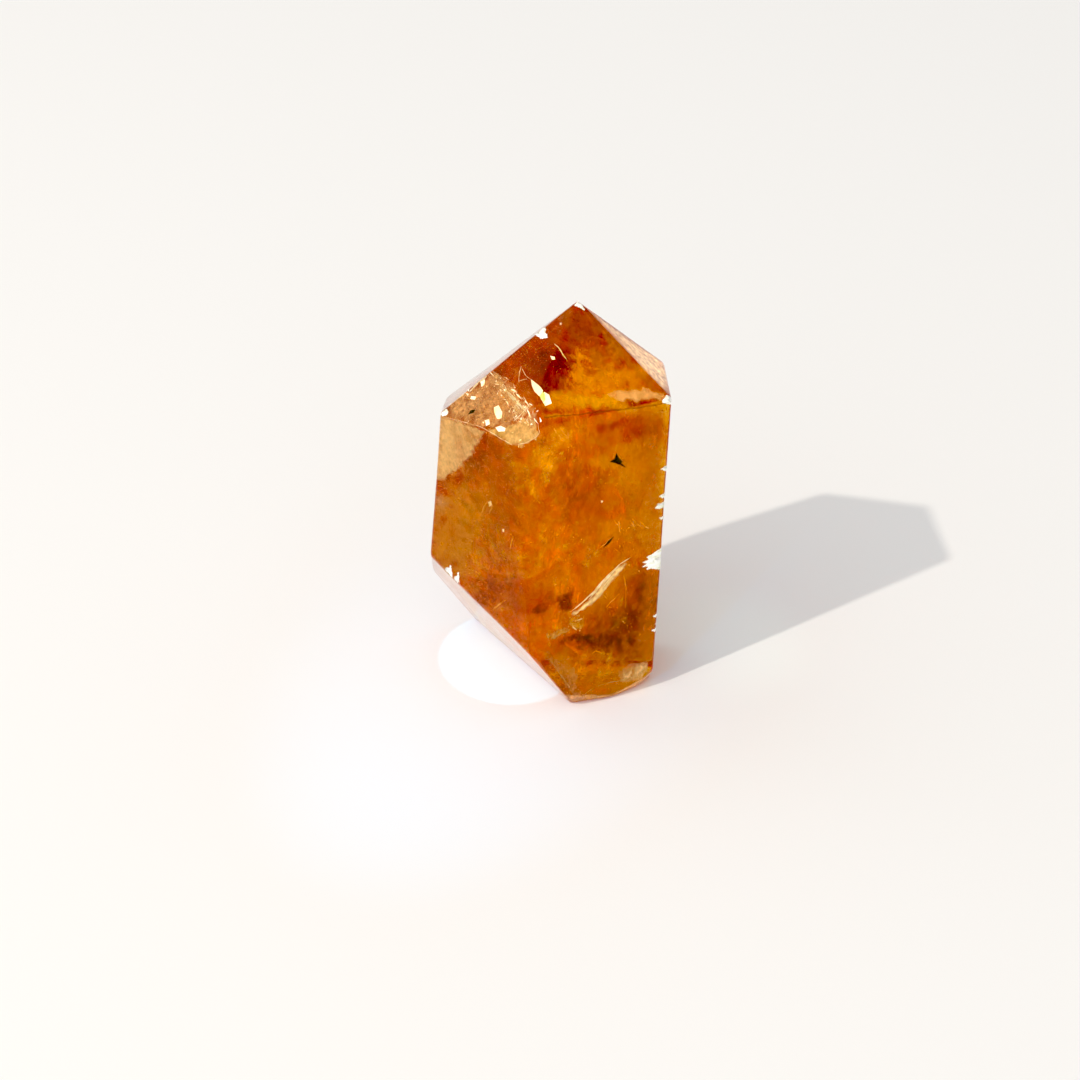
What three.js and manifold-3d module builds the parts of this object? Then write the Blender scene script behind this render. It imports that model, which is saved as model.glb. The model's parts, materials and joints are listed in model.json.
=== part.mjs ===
// A cut and polished citrine crystal point that stands upright on its own flat foot.
//
// The stone is one piece of quartz, so the whole model is one solid. It is shaped the way a
// lapidary shapes the real one: a block is ground flat on one facet after another, each facet
// given by the compass turn of its normal, the tilt of that normal and its distance from the
// middle of the stone. After that every arris gets its narrow polished bevel, and the small
// nicks along the arrises are scooped out.
//
// Millimetres, +Z up. Turn 0 faces -Y and positive turns go towards +X; tilt 0 faces straight
// up and 180 straight down. The origin is on the table, under the middle of the stone.

import * as THREE from 'three';
import { mergeVertices } from 'three/addons/utils/BufferGeometryUtils.js';
import Module from 'manifold-3d';

// ---- driving dimensions (mm and degrees) -------------------------------------------------

const MIDDLE_HEIGHT = 34;      // height of the point that every facet distance is measured from
const BLANK_SIZE = 160;        // side of the rough block before grinding
const ARRIS_SETBACK = 0.32;    // how far each bevel bites into the two facets beside an arris
const ARRIS_MIN_ANGLE = 9;     // shallower arrises are left as they are

const FACETS = {
  // the six faces of the point
  point_front_left:        { turn:  -35.18, tilt:  34.20, reach: 31.550 },
  point_front_right:       { turn:   24.80, tilt:  48.67, reach: 27.780 },
  point_right:             { turn:   97.52, tilt:  45.44, reach: 31.731 },
  point_back:              { turn:  157.60, tilt:  53.54, reach: 25.823 },
  point_back_left:         { turn: -127.70, tilt:  46.62, reach: 25.160 },
  point_left:              { turn: -117.51, tilt:  45.21, reach: 25.553 },
  // the prism faces
  side_front_left:         { turn:  -29.95, tilt:  93.62, reach: 15.833 },
  side_front_right:        { turn:   23.61, tilt:  91.40, reach: 13.245 },
  side_right:              { turn:   92.09, tilt:  91.60, reach: 19.046 },
  side_back:               { turn:  161.17, tilt:  89.24, reach: 13.227 },
  side_back_left:          { turn: -153.67, tilt:  84.26, reach: 15.697 },
  side_left:               { turn:  -93.00, tilt:  85.12, reach: 18.749 },
  // the lower left of the stone slopes in under the prism, down to a small flat foot
  foot_slope_left:         { turn:  -55.22, tilt: 121.23, reach: 19.550 },
  foot:                    { turn:    0.00, tilt: 180.00, reach: MIDDLE_HEIGHT },
  foot_bevel_front:        { turn:   12.82, tilt: 122.00, reach: 26.832 },
  foot_bevel_right_front:  { turn:   34.39, tilt: 122.00, reach: 29.081 },
  foot_bevel_right:        { turn:   53.56, tilt: 122.00, reach: 31.337 },
  foot_bevel_back:         { turn:  161.57, tilt: 127.20, reach: 30.791 },
  // one corner facet at the front shoulder and a worn shoulder on the right
  corner_facet_front:      { turn:   -8.16, tilt:  50.58, reach: 28.784 },
  shoulder_bevel_right:    { turn:  101.59, tilt:  69.63, reach: 27.655 },
};

// Nicks in the arrises: where each scoop is centred, its three half-sizes, and its turn about
// +Z and then its lean about the scoop's own long axis.
const NICKS = {
  apex:              { at: [  4.60,  0.20, 74.75 ], half: [ 0.80, 0.70, 0.75 ], turn: 20, lean: 10 },
  back_shoulder:     { at: [ -1.55, -2.75, 70.85 ], half: [ 1.35, 1.10, 0.95 ], turn: 35, lean: 30 },
  right_shoulder:    { at: [ 20.55, -6.75, 60.25 ], half: [ 1.25, 1.00, 1.20 ], turn: 30, lean: 0 },
  right_arris_a:     { at: [ 20.20, -6.75, 46.55 ], half: [ 2.00, 0.95, 0.42 ], turn: 24, lean: 8 },
  right_arris_b:     { at: [ 20.00, -6.65, 41.30 ], half: [ 1.55, 0.85, 0.30 ], turn: 24, lean: -8 },
  right_arris_c:     { at: [ 20.00, -6.70, 39.10 ], half: [ 2.20, 1.00, 0.55 ], turn: 24, lean: 14 },
  right_arris_d:     { at: [ 19.90, -6.55, 36.60 ], half: [ 1.50, 0.80, 0.34 ], turn: 24, lean: -6 },
  right_arris_e:     { at: [ 20.05, -7.15, 28.00 ], half: [ 3.40, 1.70, 1.55 ], turn: 24, lean: 18 },
  right_arris_f:     { at: [ 19.35, -6.25, 16.15 ], half: [ 1.45, 0.80, 0.42 ], turn: 24, lean: 12 },
  right_arris_g:     { at: [ 19.25, -6.20, 12.85 ], half: [ 1.45, 0.80, 0.38 ], turn: 24, lean: -10 },
  left_slope_a:      { at: [-17.15, -8.70, 26.55 ], half: [ 0.75, 1.30, 1.50 ], turn: -30, lean: 20 },
  left_slope_b:      { at: [-15.65, -9.50, 25.35 ], half: [ 0.65, 1.15, 1.60 ], turn: -30, lean: 14 },
};

// ---- tools --------------------------------------------------------------------------------

const wasm = await Module();
wasm.setup();

const UP = new THREE.Vector3(0, 0, 1);
const MIDDLE = new THREE.Vector3(0, 0, MIDDLE_HEIGHT);

function solid(geometry) {
  const g = geometry.clone();
  g.deleteAttribute('normal');
  g.deleteAttribute('uv');
  const merged = mergeVertices(g, 1e-4);
  return new wasm.Manifold(new wasm.Mesh({
    numProp: 3,
    vertProperties: new Float32Array(merged.attributes.position.array),
    triVerts: new Uint32Array(merged.index.array),
  }));
}

function facetPlane({ turn, tilt, reach }) {
  const a = THREE.MathUtils.degToRad(turn);
  const t = THREE.MathUtils.degToRad(tilt);
  const normal = new THREE.Vector3(Math.sin(a) * Math.sin(t), -Math.cos(a) * Math.sin(t), Math.cos(t));
  return new THREE.Plane(normal, -(reach + normal.dot(MIDDLE)));
}

// grind everything off that lies outside a plane
function grind(stone, plane) {
  const wheel = new THREE.BoxGeometry(3 * BLANK_SIZE, 3 * BLANK_SIZE, 2 * BLANK_SIZE);
  wheel.translate(0, 0, BLANK_SIZE);
  wheel.applyQuaternion(new THREE.Quaternion().setFromUnitVectors(UP, plane.normal));
  const foot = plane.normal.clone().multiplyScalar(-plane.constant);
  const across = MIDDLE.clone().sub(foot);
  across.addScaledVector(plane.normal, -across.dot(plane.normal));
  wheel.translate(foot.x + across.x, foot.y + across.y, foot.z + across.z);
  return stone.subtract(solid(wheel));
}

// corners of the solid that the planes enclose, each with the facets that meet there
function corners(planes) {
  const found = [];
  for (let i = 0; i < planes.length; i++) {
    for (let j = i + 1; j < planes.length; j++) {
      for (let k = j + 1; k < planes.length; k++) {
        const [p, q, r] = [planes[i], planes[j], planes[k]];
        const qr = q.normal.clone().cross(r.normal);
        const det = p.normal.dot(qr);
        if (Math.abs(det) < 1e-9) continue;
        const rp = r.normal.clone().cross(p.normal);
        const pq = p.normal.clone().cross(q.normal);
        const v = qr.multiplyScalar(-p.constant)
          .addScaledVector(rp, -q.constant)
          .addScaledVector(pq, -r.constant)
          .divideScalar(det);
        if (planes.every((s) => s.distanceToPoint(v) < 1e-6)) found.push({ v, on: [i, j, k] });
      }
    }
  }
  return found;
}

// one narrow plane along every arris, cutting both neighbours back by the same setback
function arrisBevels(planes, setback) {
  const cs = corners(planes);
  const bevels = [];
  for (let i = 0; i < planes.length; i++) {
    for (let j = i + 1; j < planes.length; j++) {
      const ends = cs.filter((c) => c.on.includes(i) && c.on.includes(j));
      if (ends.length < 2 || ends[0].v.distanceTo(ends[1].v) < 0.05) continue;
      const between = planes[i].normal.angleTo(planes[j].normal);
      if (between < THREE.MathUtils.degToRad(ARRIS_MIN_ANGLE)) continue;
      const normal = planes[i].normal.clone().add(planes[j].normal).normalize();
      const edge = Math.max(...ends.map((c) => normal.dot(c.v)));
      bevels.push(new THREE.Plane(normal, -(edge - setback * Math.sin(between / 2))));
    }
  }
  return bevels;
}

function scoop({ at, half, turn, lean }) {
  const g = new THREE.IcosahedronGeometry(1, 2);
  g.scale(half[0], half[1], half[2]);
  g.rotateY(THREE.MathUtils.degToRad(lean));
  g.rotateZ(THREE.MathUtils.degToRad(turn));
  g.translate(at[0], at[1], at[2]);
  return solid(g);
}

// ---- the stone ----------------------------------------------------------------------------

const blank = new THREE.BoxGeometry(BLANK_SIZE, BLANK_SIZE, BLANK_SIZE);
blank.translate(MIDDLE.x, MIDDLE.y, MIDDLE.z);

let stone = solid(blank);
const planes = Object.values(FACETS).map(facetPlane);
for (const plane of planes) stone = grind(stone, plane);
for (const plane of arrisBevels(planes, ARRIS_SETBACK)) stone = grind(stone, plane);
for (const nick of Object.values(NICKS)) stone = stone.subtract(scoop(nick));

const cut = stone.getMesh();
const geometry = new THREE.BufferGeometry();
geometry.setAttribute('position', new THREE.BufferAttribute(new Float32Array(cut.vertProperties), 3));
geometry.setIndex(new THREE.BufferAttribute(new Uint32Array(cut.triVerts), 1));
geometry.computeBoundingBox();
const box = geometry.boundingBox;
geometry.translate(-(box.min.x + box.max.x) / 2, -(box.min.y + box.max.y) / 2, -box.min.z);
geometry.computeVertexNormals();

const citrine = new THREE.MeshStandardMaterial({
  color: new THREE.Color(0.76, 0.40, 0.06),
  roughness: 0.06,
  metalness: 0.0,
});

const crystal = new THREE.Mesh(geometry, citrine);
crystal.name = 'crystal_point';

const part = new THREE.Group();
part.add(crystal);
export default part;
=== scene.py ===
import json
import math

import bmesh
import bpy
import numpy as np
from mathutils import Matrix, Vector

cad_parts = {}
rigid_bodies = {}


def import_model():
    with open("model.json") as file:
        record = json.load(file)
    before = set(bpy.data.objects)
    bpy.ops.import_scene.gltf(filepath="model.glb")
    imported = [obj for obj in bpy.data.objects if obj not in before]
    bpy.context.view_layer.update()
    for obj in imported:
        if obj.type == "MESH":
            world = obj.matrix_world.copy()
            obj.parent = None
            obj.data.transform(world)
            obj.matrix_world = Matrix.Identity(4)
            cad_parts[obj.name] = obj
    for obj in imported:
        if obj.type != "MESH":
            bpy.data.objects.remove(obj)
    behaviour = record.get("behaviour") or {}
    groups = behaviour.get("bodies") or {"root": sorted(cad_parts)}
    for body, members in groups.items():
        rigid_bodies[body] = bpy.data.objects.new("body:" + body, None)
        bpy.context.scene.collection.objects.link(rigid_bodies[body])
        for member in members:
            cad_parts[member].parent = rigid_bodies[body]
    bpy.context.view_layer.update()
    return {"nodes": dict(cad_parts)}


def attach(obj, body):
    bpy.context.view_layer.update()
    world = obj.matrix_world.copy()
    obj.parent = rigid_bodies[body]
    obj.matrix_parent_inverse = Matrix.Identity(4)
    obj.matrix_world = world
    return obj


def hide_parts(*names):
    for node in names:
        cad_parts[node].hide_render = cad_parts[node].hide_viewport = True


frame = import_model()
MM = 0.001

# ------------------------------------------------------------------ camera
cam_data = bpy.data.cameras.new("camera")
cam_data.sensor_width = 36.0
cam_data.lens = 92.157
cam_data.clip_start = 0.01
cam_data.clip_end = 50.0
cam = bpy.data.objects.new("camera", cam_data)
cam.location = Vector((-1.23, -385.36, 297.45)) * MM
cam.rotation_euler = (math.radians(55.0), 0.0, 0.0)
bpy.context.scene.collection.objects.link(cam)
bpy.context.scene.camera = cam


# ------------------------------------------------------------------ small tools
def rng(seed):
    return np.random.default_rng(seed)


def wave_noise(p, scale, seed, octaves=3):
    """Smooth noise in about -1..1 at points p (n, 3) in mm: sums of sine waves in random directions."""
    r = rng(seed)
    out = np.zeros(len(p))
    amp, total, freq = 1.0, 0.0, 2.0 * math.pi / scale
    for _ in range(octaves):
        for _ in range(5):
            d = r.normal(size=3)
            d /= np.linalg.norm(d)
            k = freq * r.uniform(0.7, 1.4)
            out += amp * np.sin(p @ d * k + r.uniform(0, 2 * math.pi)) / 5 ** 0.5
        total += amp * 0.75
        amp *= 0.5
        freq *= 2.0
    return out / total


def mesh_object(name, verts_mm, faces):
    me = bpy.data.meshes.new(name)
    me.from_pydata([tuple(v) for v in np.asarray(verts_mm) * MM], [], [tuple(f) for f in faces])
    me.validate()
    me.update()
    ob = bpy.data.objects.new(name, me)
    bpy.context.scene.collection.objects.link(ob)
    return ob


# ------------------------------------------------------------------ the stone's facets
# the same facets as the CAD solid: turn and tilt of the normal, reach from the middle (mm)
MIDDLE = np.array([0.0, 0.0, 34.0])
FACETS = {
    "T5": (-35.18, 34.20, 31.550), "T1": (24.80, 48.67, 27.780), "T2": (97.52, 45.44, 31.731),
    "T3": (157.60, 53.54, 25.823), "T4": (-127.70, 46.62, 25.160), "T6": (-117.51, 45.21, 25.553),
    "P5": (-29.95, 93.62, 15.833), "P1": (23.61, 91.40, 13.245), "P2": (92.09, 91.60, 19.046),
    "P3": (161.17, 89.24, 13.227), "P4": (-153.67, 84.26, 15.697), "P6": (-93.00, 85.12, 18.749),
    "FLL": (-55.22, 121.23, 19.550), "foot": (0.0, 180.0, 34.0),
    "B1": (12.82, 122.00, 26.832), "B2": (34.39, 122.00, 29.081), "B3": (53.56, 122.00, 31.337),
    "BB": (161.57, 127.20, 30.791), "C2": (101.59, 69.63, 27.655), "CF": (-8.16, 50.58, 28.784),
}
SHIFT = np.array([-0.011, -0.008, 0.0])


def facet(turn, tilt, reach):
    a, t = math.radians(turn), math.radians(tilt)
    n = np.array([math.sin(a) * math.sin(t), -math.cos(a) * math.sin(t), math.cos(t)])
    return n, reach + n @ (MIDDLE + SHIFT)


PLANES = {k: facet(*v) for k, v in FACETS.items()}
PN = np.array([PLANES[k][0] for k in FACETS])
PD = np.array([PLANES[k][1] for k in FACETS])

# nicks along the arrises: centre, half sizes, turn, lean (mm, degrees), as in the CAD solid
NICKS = [
    ((4.60, 0.20, 74.75), (0.80, 0.70, 0.75), 20, 10),
    ((-1.55, -2.75, 70.85), (1.35, 1.10, 0.95), 35, 30),
    ((20.55, -6.75, 60.25), (1.25, 1.00, 1.20), 30, 0),
    ((20.20, -6.75, 46.55), (2.00, 0.95, 0.42), 24, 8),
    ((20.00, -6.65, 41.30), (1.55, 0.85, 0.30), 24, -8),
    ((20.00, -6.70, 39.10), (2.20, 1.00, 0.55), 24, 14),
    ((19.90, -6.55, 36.60), (1.50, 0.80, 0.34), 24, -6),
    ((20.05, -7.15, 28.00), (3.40, 1.70, 1.55), 24, 18),
    ((19.35, -6.25, 16.15), (1.45, 0.80, 0.42), 24, 12),
    ((19.25, -6.20, 12.85), (1.45, 0.80, 0.38), 24, -10),
    ((-17.15, -8.70, 26.55), (0.75, 1.30, 1.50), -30, 20),
    ((-15.65, -9.50, 25.35), (0.65, 1.15, 1.60), -30, 14),
]


def stone_field(p, wavy=True):
    """Signed distance-like field of the polished stone in mm: negative inside."""
    d = p @ PN.T - PD
    m = d.max(axis=1)
    k = 0.16  # arrises are rounded by about two of these
    f = m + k * np.log(np.exp((d - m[:, None]) / k).sum(axis=1))
    if wavy:
        f = f + 0.030 * wave_noise(p, 15.0, 11, 1)
    for at, half, turn, lean in NICKS:
        c = np.array(at)
        near = np.abs(p - c).max(axis=1) < max(half) + 1.5
        if not near.any():
            continue
        q = p[near] - c
        a = math.radians(-turn)
        q = q @ np.array([[math.cos(a), -math.sin(a), 0], [math.sin(a), math.cos(a), 0], [0, 0, 1]]).T
        b = math.radians(-lean)
        q = q @ np.array([[math.cos(b), 0, math.sin(b)], [0, 1, 0], [-math.sin(b), 0, math.cos(b)]]).T
        h = np.array(half)
        g = (np.linalg.norm(q / h, axis=1) - 1.0) * h.min()
        g += 0.10 * h.min() * wave_noise(p[near], 0.9, 31, 2)
        k2 = 0.05
        x = f[near]
        y = -g
        mm = np.maximum(x, y)
        f[near] = mm + k2 * np.log(np.exp((x - mm) / k2) + np.exp((y - mm) / k2))
    return f


def gradient(p, h=0.02):
    g = np.zeros_like(p)
    for i in range(3):
        e = np.zeros(3)
        e[i] = h
        g[:, i] = (stone_field(p + e) - stone_field(p - e)) / (2 * h)
    return g


def build_stone():
    """A fine mesh of the stone: the CAD solid voxel-remeshed, then every vertex pulled onto the rounded, gently wavy field."""
    src = frame["nodes"]["crystal_point"]
    me = src.data.copy()
    ob = bpy.data.objects.new("citrine_stone", me)
    bpy.context.scene.collection.objects.link(ob)
    for layer in list(me.uv_layers):
        me.uv_layers.remove(layer)
    bm = bmesh.new()
    bm.from_mesh(me)
    bmesh.ops.remove_doubles(bm, verts=bm.verts, dist=1e-6)
    bm.to_mesh(me)
    bm.free()
    mod = ob.modifiers.new("remesh", "REMESH")
    mod.mode = "VOXEL"
    mod.voxel_size = 0.362 * MM
    mod.adaptivity = 0.0
    deps = bpy.context.evaluated_depsgraph_get()
    fine = bpy.data.meshes.new_from_object(ob.evaluated_get(deps))
    ob.modifiers.clear()
    ob.data = fine
    bpy.data.meshes.remove(me)
    # finer faces around the nicks
    bm = bmesh.new()
    bm.from_mesh(fine)
    near = set()
    for at, half, _, _ in NICKS:
        c = Vector(at) * MM
        reach = (max(half) + 0.5) * MM
        near.update(e for e in bm.edges if (e.verts[0].co - c).length < reach)
    bmesh.ops.subdivide_edges(bm, edges=list(near), cuts=2, use_grid_fill=True)
    bmesh.ops.triangulate(bm, faces=[f for f in bm.faces if len(f.verts) > 4])
    bm.to_mesh(fine)
    bm.free()
    n = len(fine.vertices)
    co = np.zeros(n * 3, np.float32)
    fine.vertices.foreach_get("co", co)
    p = co.reshape(-1, 3).astype(float) / MM
    for _ in range(7):
        f = stone_field(p)
        g = gradient(p)
        step = f / np.maximum((g * g).sum(axis=1), 0.2)
        step = np.clip(step, -0.35, 0.35)
        p = p - g * step[:, None]
    p[:, 2] = np.maximum(p[:, 2], 0.0)
    fine.vertices.foreach_set("co", (p * MM).astype(np.float32).ravel())
    g = gradient(p)
    g /= np.maximum(np.linalg.norm(g, axis=1), 1e-9)[:, None]
    fine.polygons.foreach_set("use_smooth", [True] * len(fine.polygons))
    fine.update()
    fine.normals_split_custom_set_from_vertices([tuple(v) for v in g])
    fine.update()
    ob.data.name = "citrine_stone"
    ob.name = "citrine_stone"
    return ob


# ------------------------------------------------------------------ materials
def new_material(name):
    m = bpy.data.materials.new(name)
    m.use_nodes = True
    nt = m.node_tree
    nt.nodes.clear()
    out = nt.nodes.new("ShaderNodeOutputMaterial")
    return m, nt, out


def absorb(nt, out, take):
    """Plain absorption: take is what a millimetre takes off in red, green and blue."""
    v = nt.nodes.new("ShaderNodeVolumeAbsorption")
    take = np.array(take)
    v.inputs["Color"].default_value = (*[1 - t / take.max() for t in take], 1)
    v.inputs["Density"].default_value = take.max() / MM
    nt.links.new(v.outputs["Volume"], out.inputs["Volume"])


def noise(nt, scale_mm, detail=3.0, rough=0.55, stretch=(1, 1, 1), turn=(0, 0, 0)):
    """Noise over object coordinates with features of about scale_mm."""
    tc = nt.nodes.new("ShaderNodeTexCoord")
    mp = nt.nodes.new("ShaderNodeMapping")
    mp.inputs["Scale"].default_value = stretch
    mp.inputs["Rotation"].default_value = turn
    nt.links.new(tc.outputs["Object"], mp.inputs["Vector"])
    n = nt.nodes.new("ShaderNodeTexNoise")
    n.inputs["Scale"].default_value = 1.0 / (scale_mm * MM)
    n.inputs["Detail"].default_value = detail
    n.inputs["Roughness"].default_value = rough
    nt.links.new(mp.outputs["Vector"], n.inputs["Vector"])
    return n


def ramp(nt, source, stops):
    r = nt.nodes.new("ShaderNodeValToRGB")
    el = r.color_ramp.elements
    while len(el) < len(stops):
        el.new(0.5)
    for e, (pos, col) in zip(el, stops):
        e.position = pos
        e.color = (*col, 1) if len(col) == 3 else col
    nt.links.new(source, r.inputs["Fac"])
    return r


def scaled(nt, source, lo, hi, lo2, hi2):
    m = nt.nodes.new("ShaderNodeMapRange")
    for k, v in zip(("From Min", "From Max", "To Min", "To Max"), (lo, hi, lo2, hi2)):
        m.inputs[k].default_value = v
    nt.links.new(source, m.inputs["Value"])
    return m


TAKE = (0.009, 0.058, 0.24)


def citrine_material():
    m, nt, out = new_material("citrine")
    p = nt.nodes.new("ShaderNodeBsdfPrincipled")
    p.inputs["Base Color"].default_value = (1.0, 1.0, 1.0, 1)
    p.inputs["Transmission Weight"].default_value = 1.0
    p.inputs["IOR"].default_value = 1.55
    p.inputs["Roughness"].default_value = 0.0
    # fine wear of the polish, seen only at a glancing angle
    p.inputs["Sheen Weight"].default_value = 0.10
    p.inputs["Sheen Roughness"].default_value = 0.15
    p.inputs["Sheen Tint"].default_value = (1.0, 0.98, 0.94, 1)
    # faint polishing lines
    n = noise(nt, 0.9, 2.0, 0.5, stretch=(1, 1, 0.12))
    b = nt.nodes.new("ShaderNodeBump")
    b.inputs["Strength"].default_value = 0.02
    b.inputs["Distance"].default_value = 0.02 * MM
    nt.links.new(n.outputs["Fac"], b.inputs["Height"])
    nt.links.new(b.outputs["Normal"], p.inputs["Normal"])
    nt.links.new(p.outputs["BSDF"], out.inputs["Surface"])
    absorb(nt, out, TAKE)
    return m


def frost_material(name="fresh_break", stops=((0.30, (0.80, 0.74, 0.62)), (0.62, (1.0, 0.98, 0.94))), glow=0.0, size=0.45, turn=(0, 0, 0), stretch=(1, 1, 1)):
    """A broken, unpolished quartz surface: pale, grainy, slightly glossy. With glow above zero it also emits its own
    colour: painted light, a glow without a lamp.
    """
    m, nt, out = new_material(name)
    p = nt.nodes.new("ShaderNodeBsdfPrincipled")
    n = noise(nt, size, 4.0, 0.6, stretch=stretch, turn=turn)
    c = ramp(nt, n.outputs["Fac"], list(stops))
    nt.links.new(c.outputs["Color"], p.inputs["Base Color"])
    r = scaled(nt, n.outputs["Fac"], 0.3, 0.7, 0.25, 0.55)
    nt.links.new(r.outputs["Result"], p.inputs["Roughness"])
    b = nt.nodes.new("ShaderNodeBump")
    b.inputs["Strength"].default_value = 0.6
    b.inputs["Distance"].default_value = 0.05 * MM
    nt.links.new(n.outputs["Fac"], b.inputs["Height"])
    nt.links.new(b.outputs["Normal"], p.inputs["Normal"])
    if glow:
        nt.links.new(c.outputs["Color"], p.inputs["Emission Color"])
        p.inputs["Emission Strength"].default_value = glow
    nt.links.new(p.outputs["BSDF"], out.inputs["Surface"])
    return m


def piece(ob, material, body="root"):
    ob.data.materials.clear()
    ob.data.materials.append(material)
    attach(ob, body)
    return ob


# ------------------------------------------------------------------ the stone
stone = build_stone()
piece(stone, citrine_material())
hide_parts("crystal_point")


# ------------------------------------------------------------------ frosted linings of the nicks
def turned(q, turn, lean, back=False):
    a, b = math.radians(turn), math.radians(lean)
    rb = np.array([[math.cos(b), 0, math.sin(b)], [0, 1, 0], [-math.sin(b), 0, math.cos(b)]])
    ra = np.array([[math.cos(a), -math.sin(a), 0], [math.sin(a), math.cos(a), 0], [0, 0, 1]])
    return q @ rb.T @ ra.T


def facets_field(p):
    return (p @ PN.T - PD).max(axis=1)


def nick_linings():
    """The rough broken skin in each nick: a thin closed shell lying just clear of the glass."""
    bm = bmesh.new()
    for at, half, turn, lean in NICKS:
        h = np.array(half)
        nu, nv = 56, 28
        th = np.linspace(0.02, math.pi - 0.02, nv)
        ph = np.linspace(0, 2 * math.pi, nu, endpoint=False)
        T, P = np.meshgrid(th, ph, indexing="ij")
        # poles along the long x axis of the nick
        d = np.stack([np.cos(T), np.sin(T) * np.cos(P), np.sin(T) * np.sin(P)], -1).reshape(-1, 3)
        p = np.array(at) + turned(d * h, turn, lean)
        rho = 1.0 - 0.10 * wave_noise(p, 0.9, 31, 2)
        outer = np.array(at) + turned(d * (h * rho[:, None] - 0.012), turn, lean)
        inner = np.array(at) + turned(d * (h * rho[:, None] - 0.050), turn, lean)
        keep = facets_field(outer) < 0.02
        vo, vi = {}, {}
        quads = []
        for i in range(nv - 1):
            for j in range(nu):
                q = [i * nu + j, (i + 1) * nu + j, (i + 1) * nu + (j + 1) % nu, i * nu + (j + 1) % nu]
                if keep[q].all():
                    quads.append(q)
        for q in quads:
            for k in q:
                if k not in vo:
                    vo[k] = bm.verts.new(outer[k])
                    vi[k] = bm.verts.new(inner[k])
        count = {}
        for q in quads:
            bm.faces.new([vo[k] for k in q])
            bm.faces.new([vi[k] for k in reversed(q)])
            for a, b in zip(q, q[1:] + q[:1]):
                count[(a, b)] = count.get((a, b), 0) + 1
        for a, b in count:
            if (b, a) not in count:
                bm.faces.new([vo[b], vo[a], vi[a], vi[b]])
    bmesh.ops.recalc_face_normals(bm, faces=bm.faces)
    for v in bm.verts:
        v.co *= MM
    me = bpy.data.meshes.new("nick_linings")
    bm.to_mesh(me)
    bm.free()
    me.polygons.foreach_set("use_smooth", [True] * len(me.polygons))
    ob = bpy.data.objects.new("nick_linings", me)
    bpy.context.scene.collection.objects.link(ob)
    return ob


piece(nick_linings(), frost_material())


# ------------------------------------------------------------------ growth veils
CORE = np.array([0.6, 0.4, 33.0])
LOW, HIGH = np.array([-20.0, -18.0, 0.0]), np.array([20.2, 17.5, 74.4])


def soft_facets(p, k=1.2):
    d = p @ PN.T - PD
    m = d.max(axis=1)
    return m + k * np.log(np.exp((d - m[:, None]) / k).sum(axis=1))


def blobs(p, spots):
    """Sum of soft round spots: (centre, radius, amount)."""
    out = np.zeros(len(p))
    for c, rad, amount in spots:
        q = (p - np.array(c)) / np.array(rad)
        out += amount * np.exp(-(q * q).sum(axis=1))
    return out


def add_attribute(me, name, values):
    at = me.attributes.new(name, "FLOAT", "POINT")
    at.data.foreach_set("value", np.asarray(values, np.float32))


def phantom(name, depth, wave, scale, seed, sub=6):
    """A closed veil that follows the stone's own faces at some depth, as growth layers do."""
    bm = bmesh.new()
    bmesh.ops.create_icosphere(bm, subdivisions=sub, radius=1.0)
    me = bpy.data.meshes.new(name)
    bm.to_mesh(me)
    bm.free()
    n = len(me.vertices)
    co = np.zeros(n * 3, np.float32)
    me.vertices.foreach_get("co", co)
    d = co.reshape(-1, 3).astype(float) * np.array([1.0, 1.0, 2.0])
    d /= np.linalg.norm(d, axis=1)[:, None]
    lo, hi = np.zeros(n), np.full(n, 60.0)
    for _ in range(22):
        mid = (lo + hi) / 2
        p = CORE + d * mid[:, None]
        out = soft_facets(p) + depth + wave * wave_noise(p, scale, seed, 3) > 0
        hi = np.where(out, mid, hi)
        lo = np.where(out, lo, mid)
    p = CORE + d * lo[:, None]
    me.vertices.foreach_set("co", (p * MM).astype(np.float32).ravel())
    me.polygons.foreach_set("use_smooth", [True] * len(me.polygons))
    me.update()
    ob = bpy.data.objects.new(name, me)
    bpy.context.scene.collection.objects.link(ob)
    return ob, p


def attribute(nt, name):
    at = nt.nodes.new("ShaderNodeAttribute")
    at.attribute_name = name
    return at.outputs["Fac"]


def times(nt, a, b, clamp=True):
    m = nt.nodes.new("ShaderNodeMath")
    m.operation = "MULTIPLY"
    m.use_clamp = clamp
    nt.links.new(a, m.inputs[0])
    nt.links.new(b, m.inputs[1])
    return m.outputs[0]


def mixed_colour(nt, fac, a, b):
    m = nt.nodes.new("ShaderNodeMix")
    m.data_type = "RGBA"
    nt.links.new(fac, m.inputs[0])
    for value, at in ((a, 6), (b, 7)):
        if isinstance(value, tuple):
            m.inputs[at].default_value = (*value, 1)
        else:
            nt.links.new(value, m.inputs[at])
    return m.outputs[2]


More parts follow.
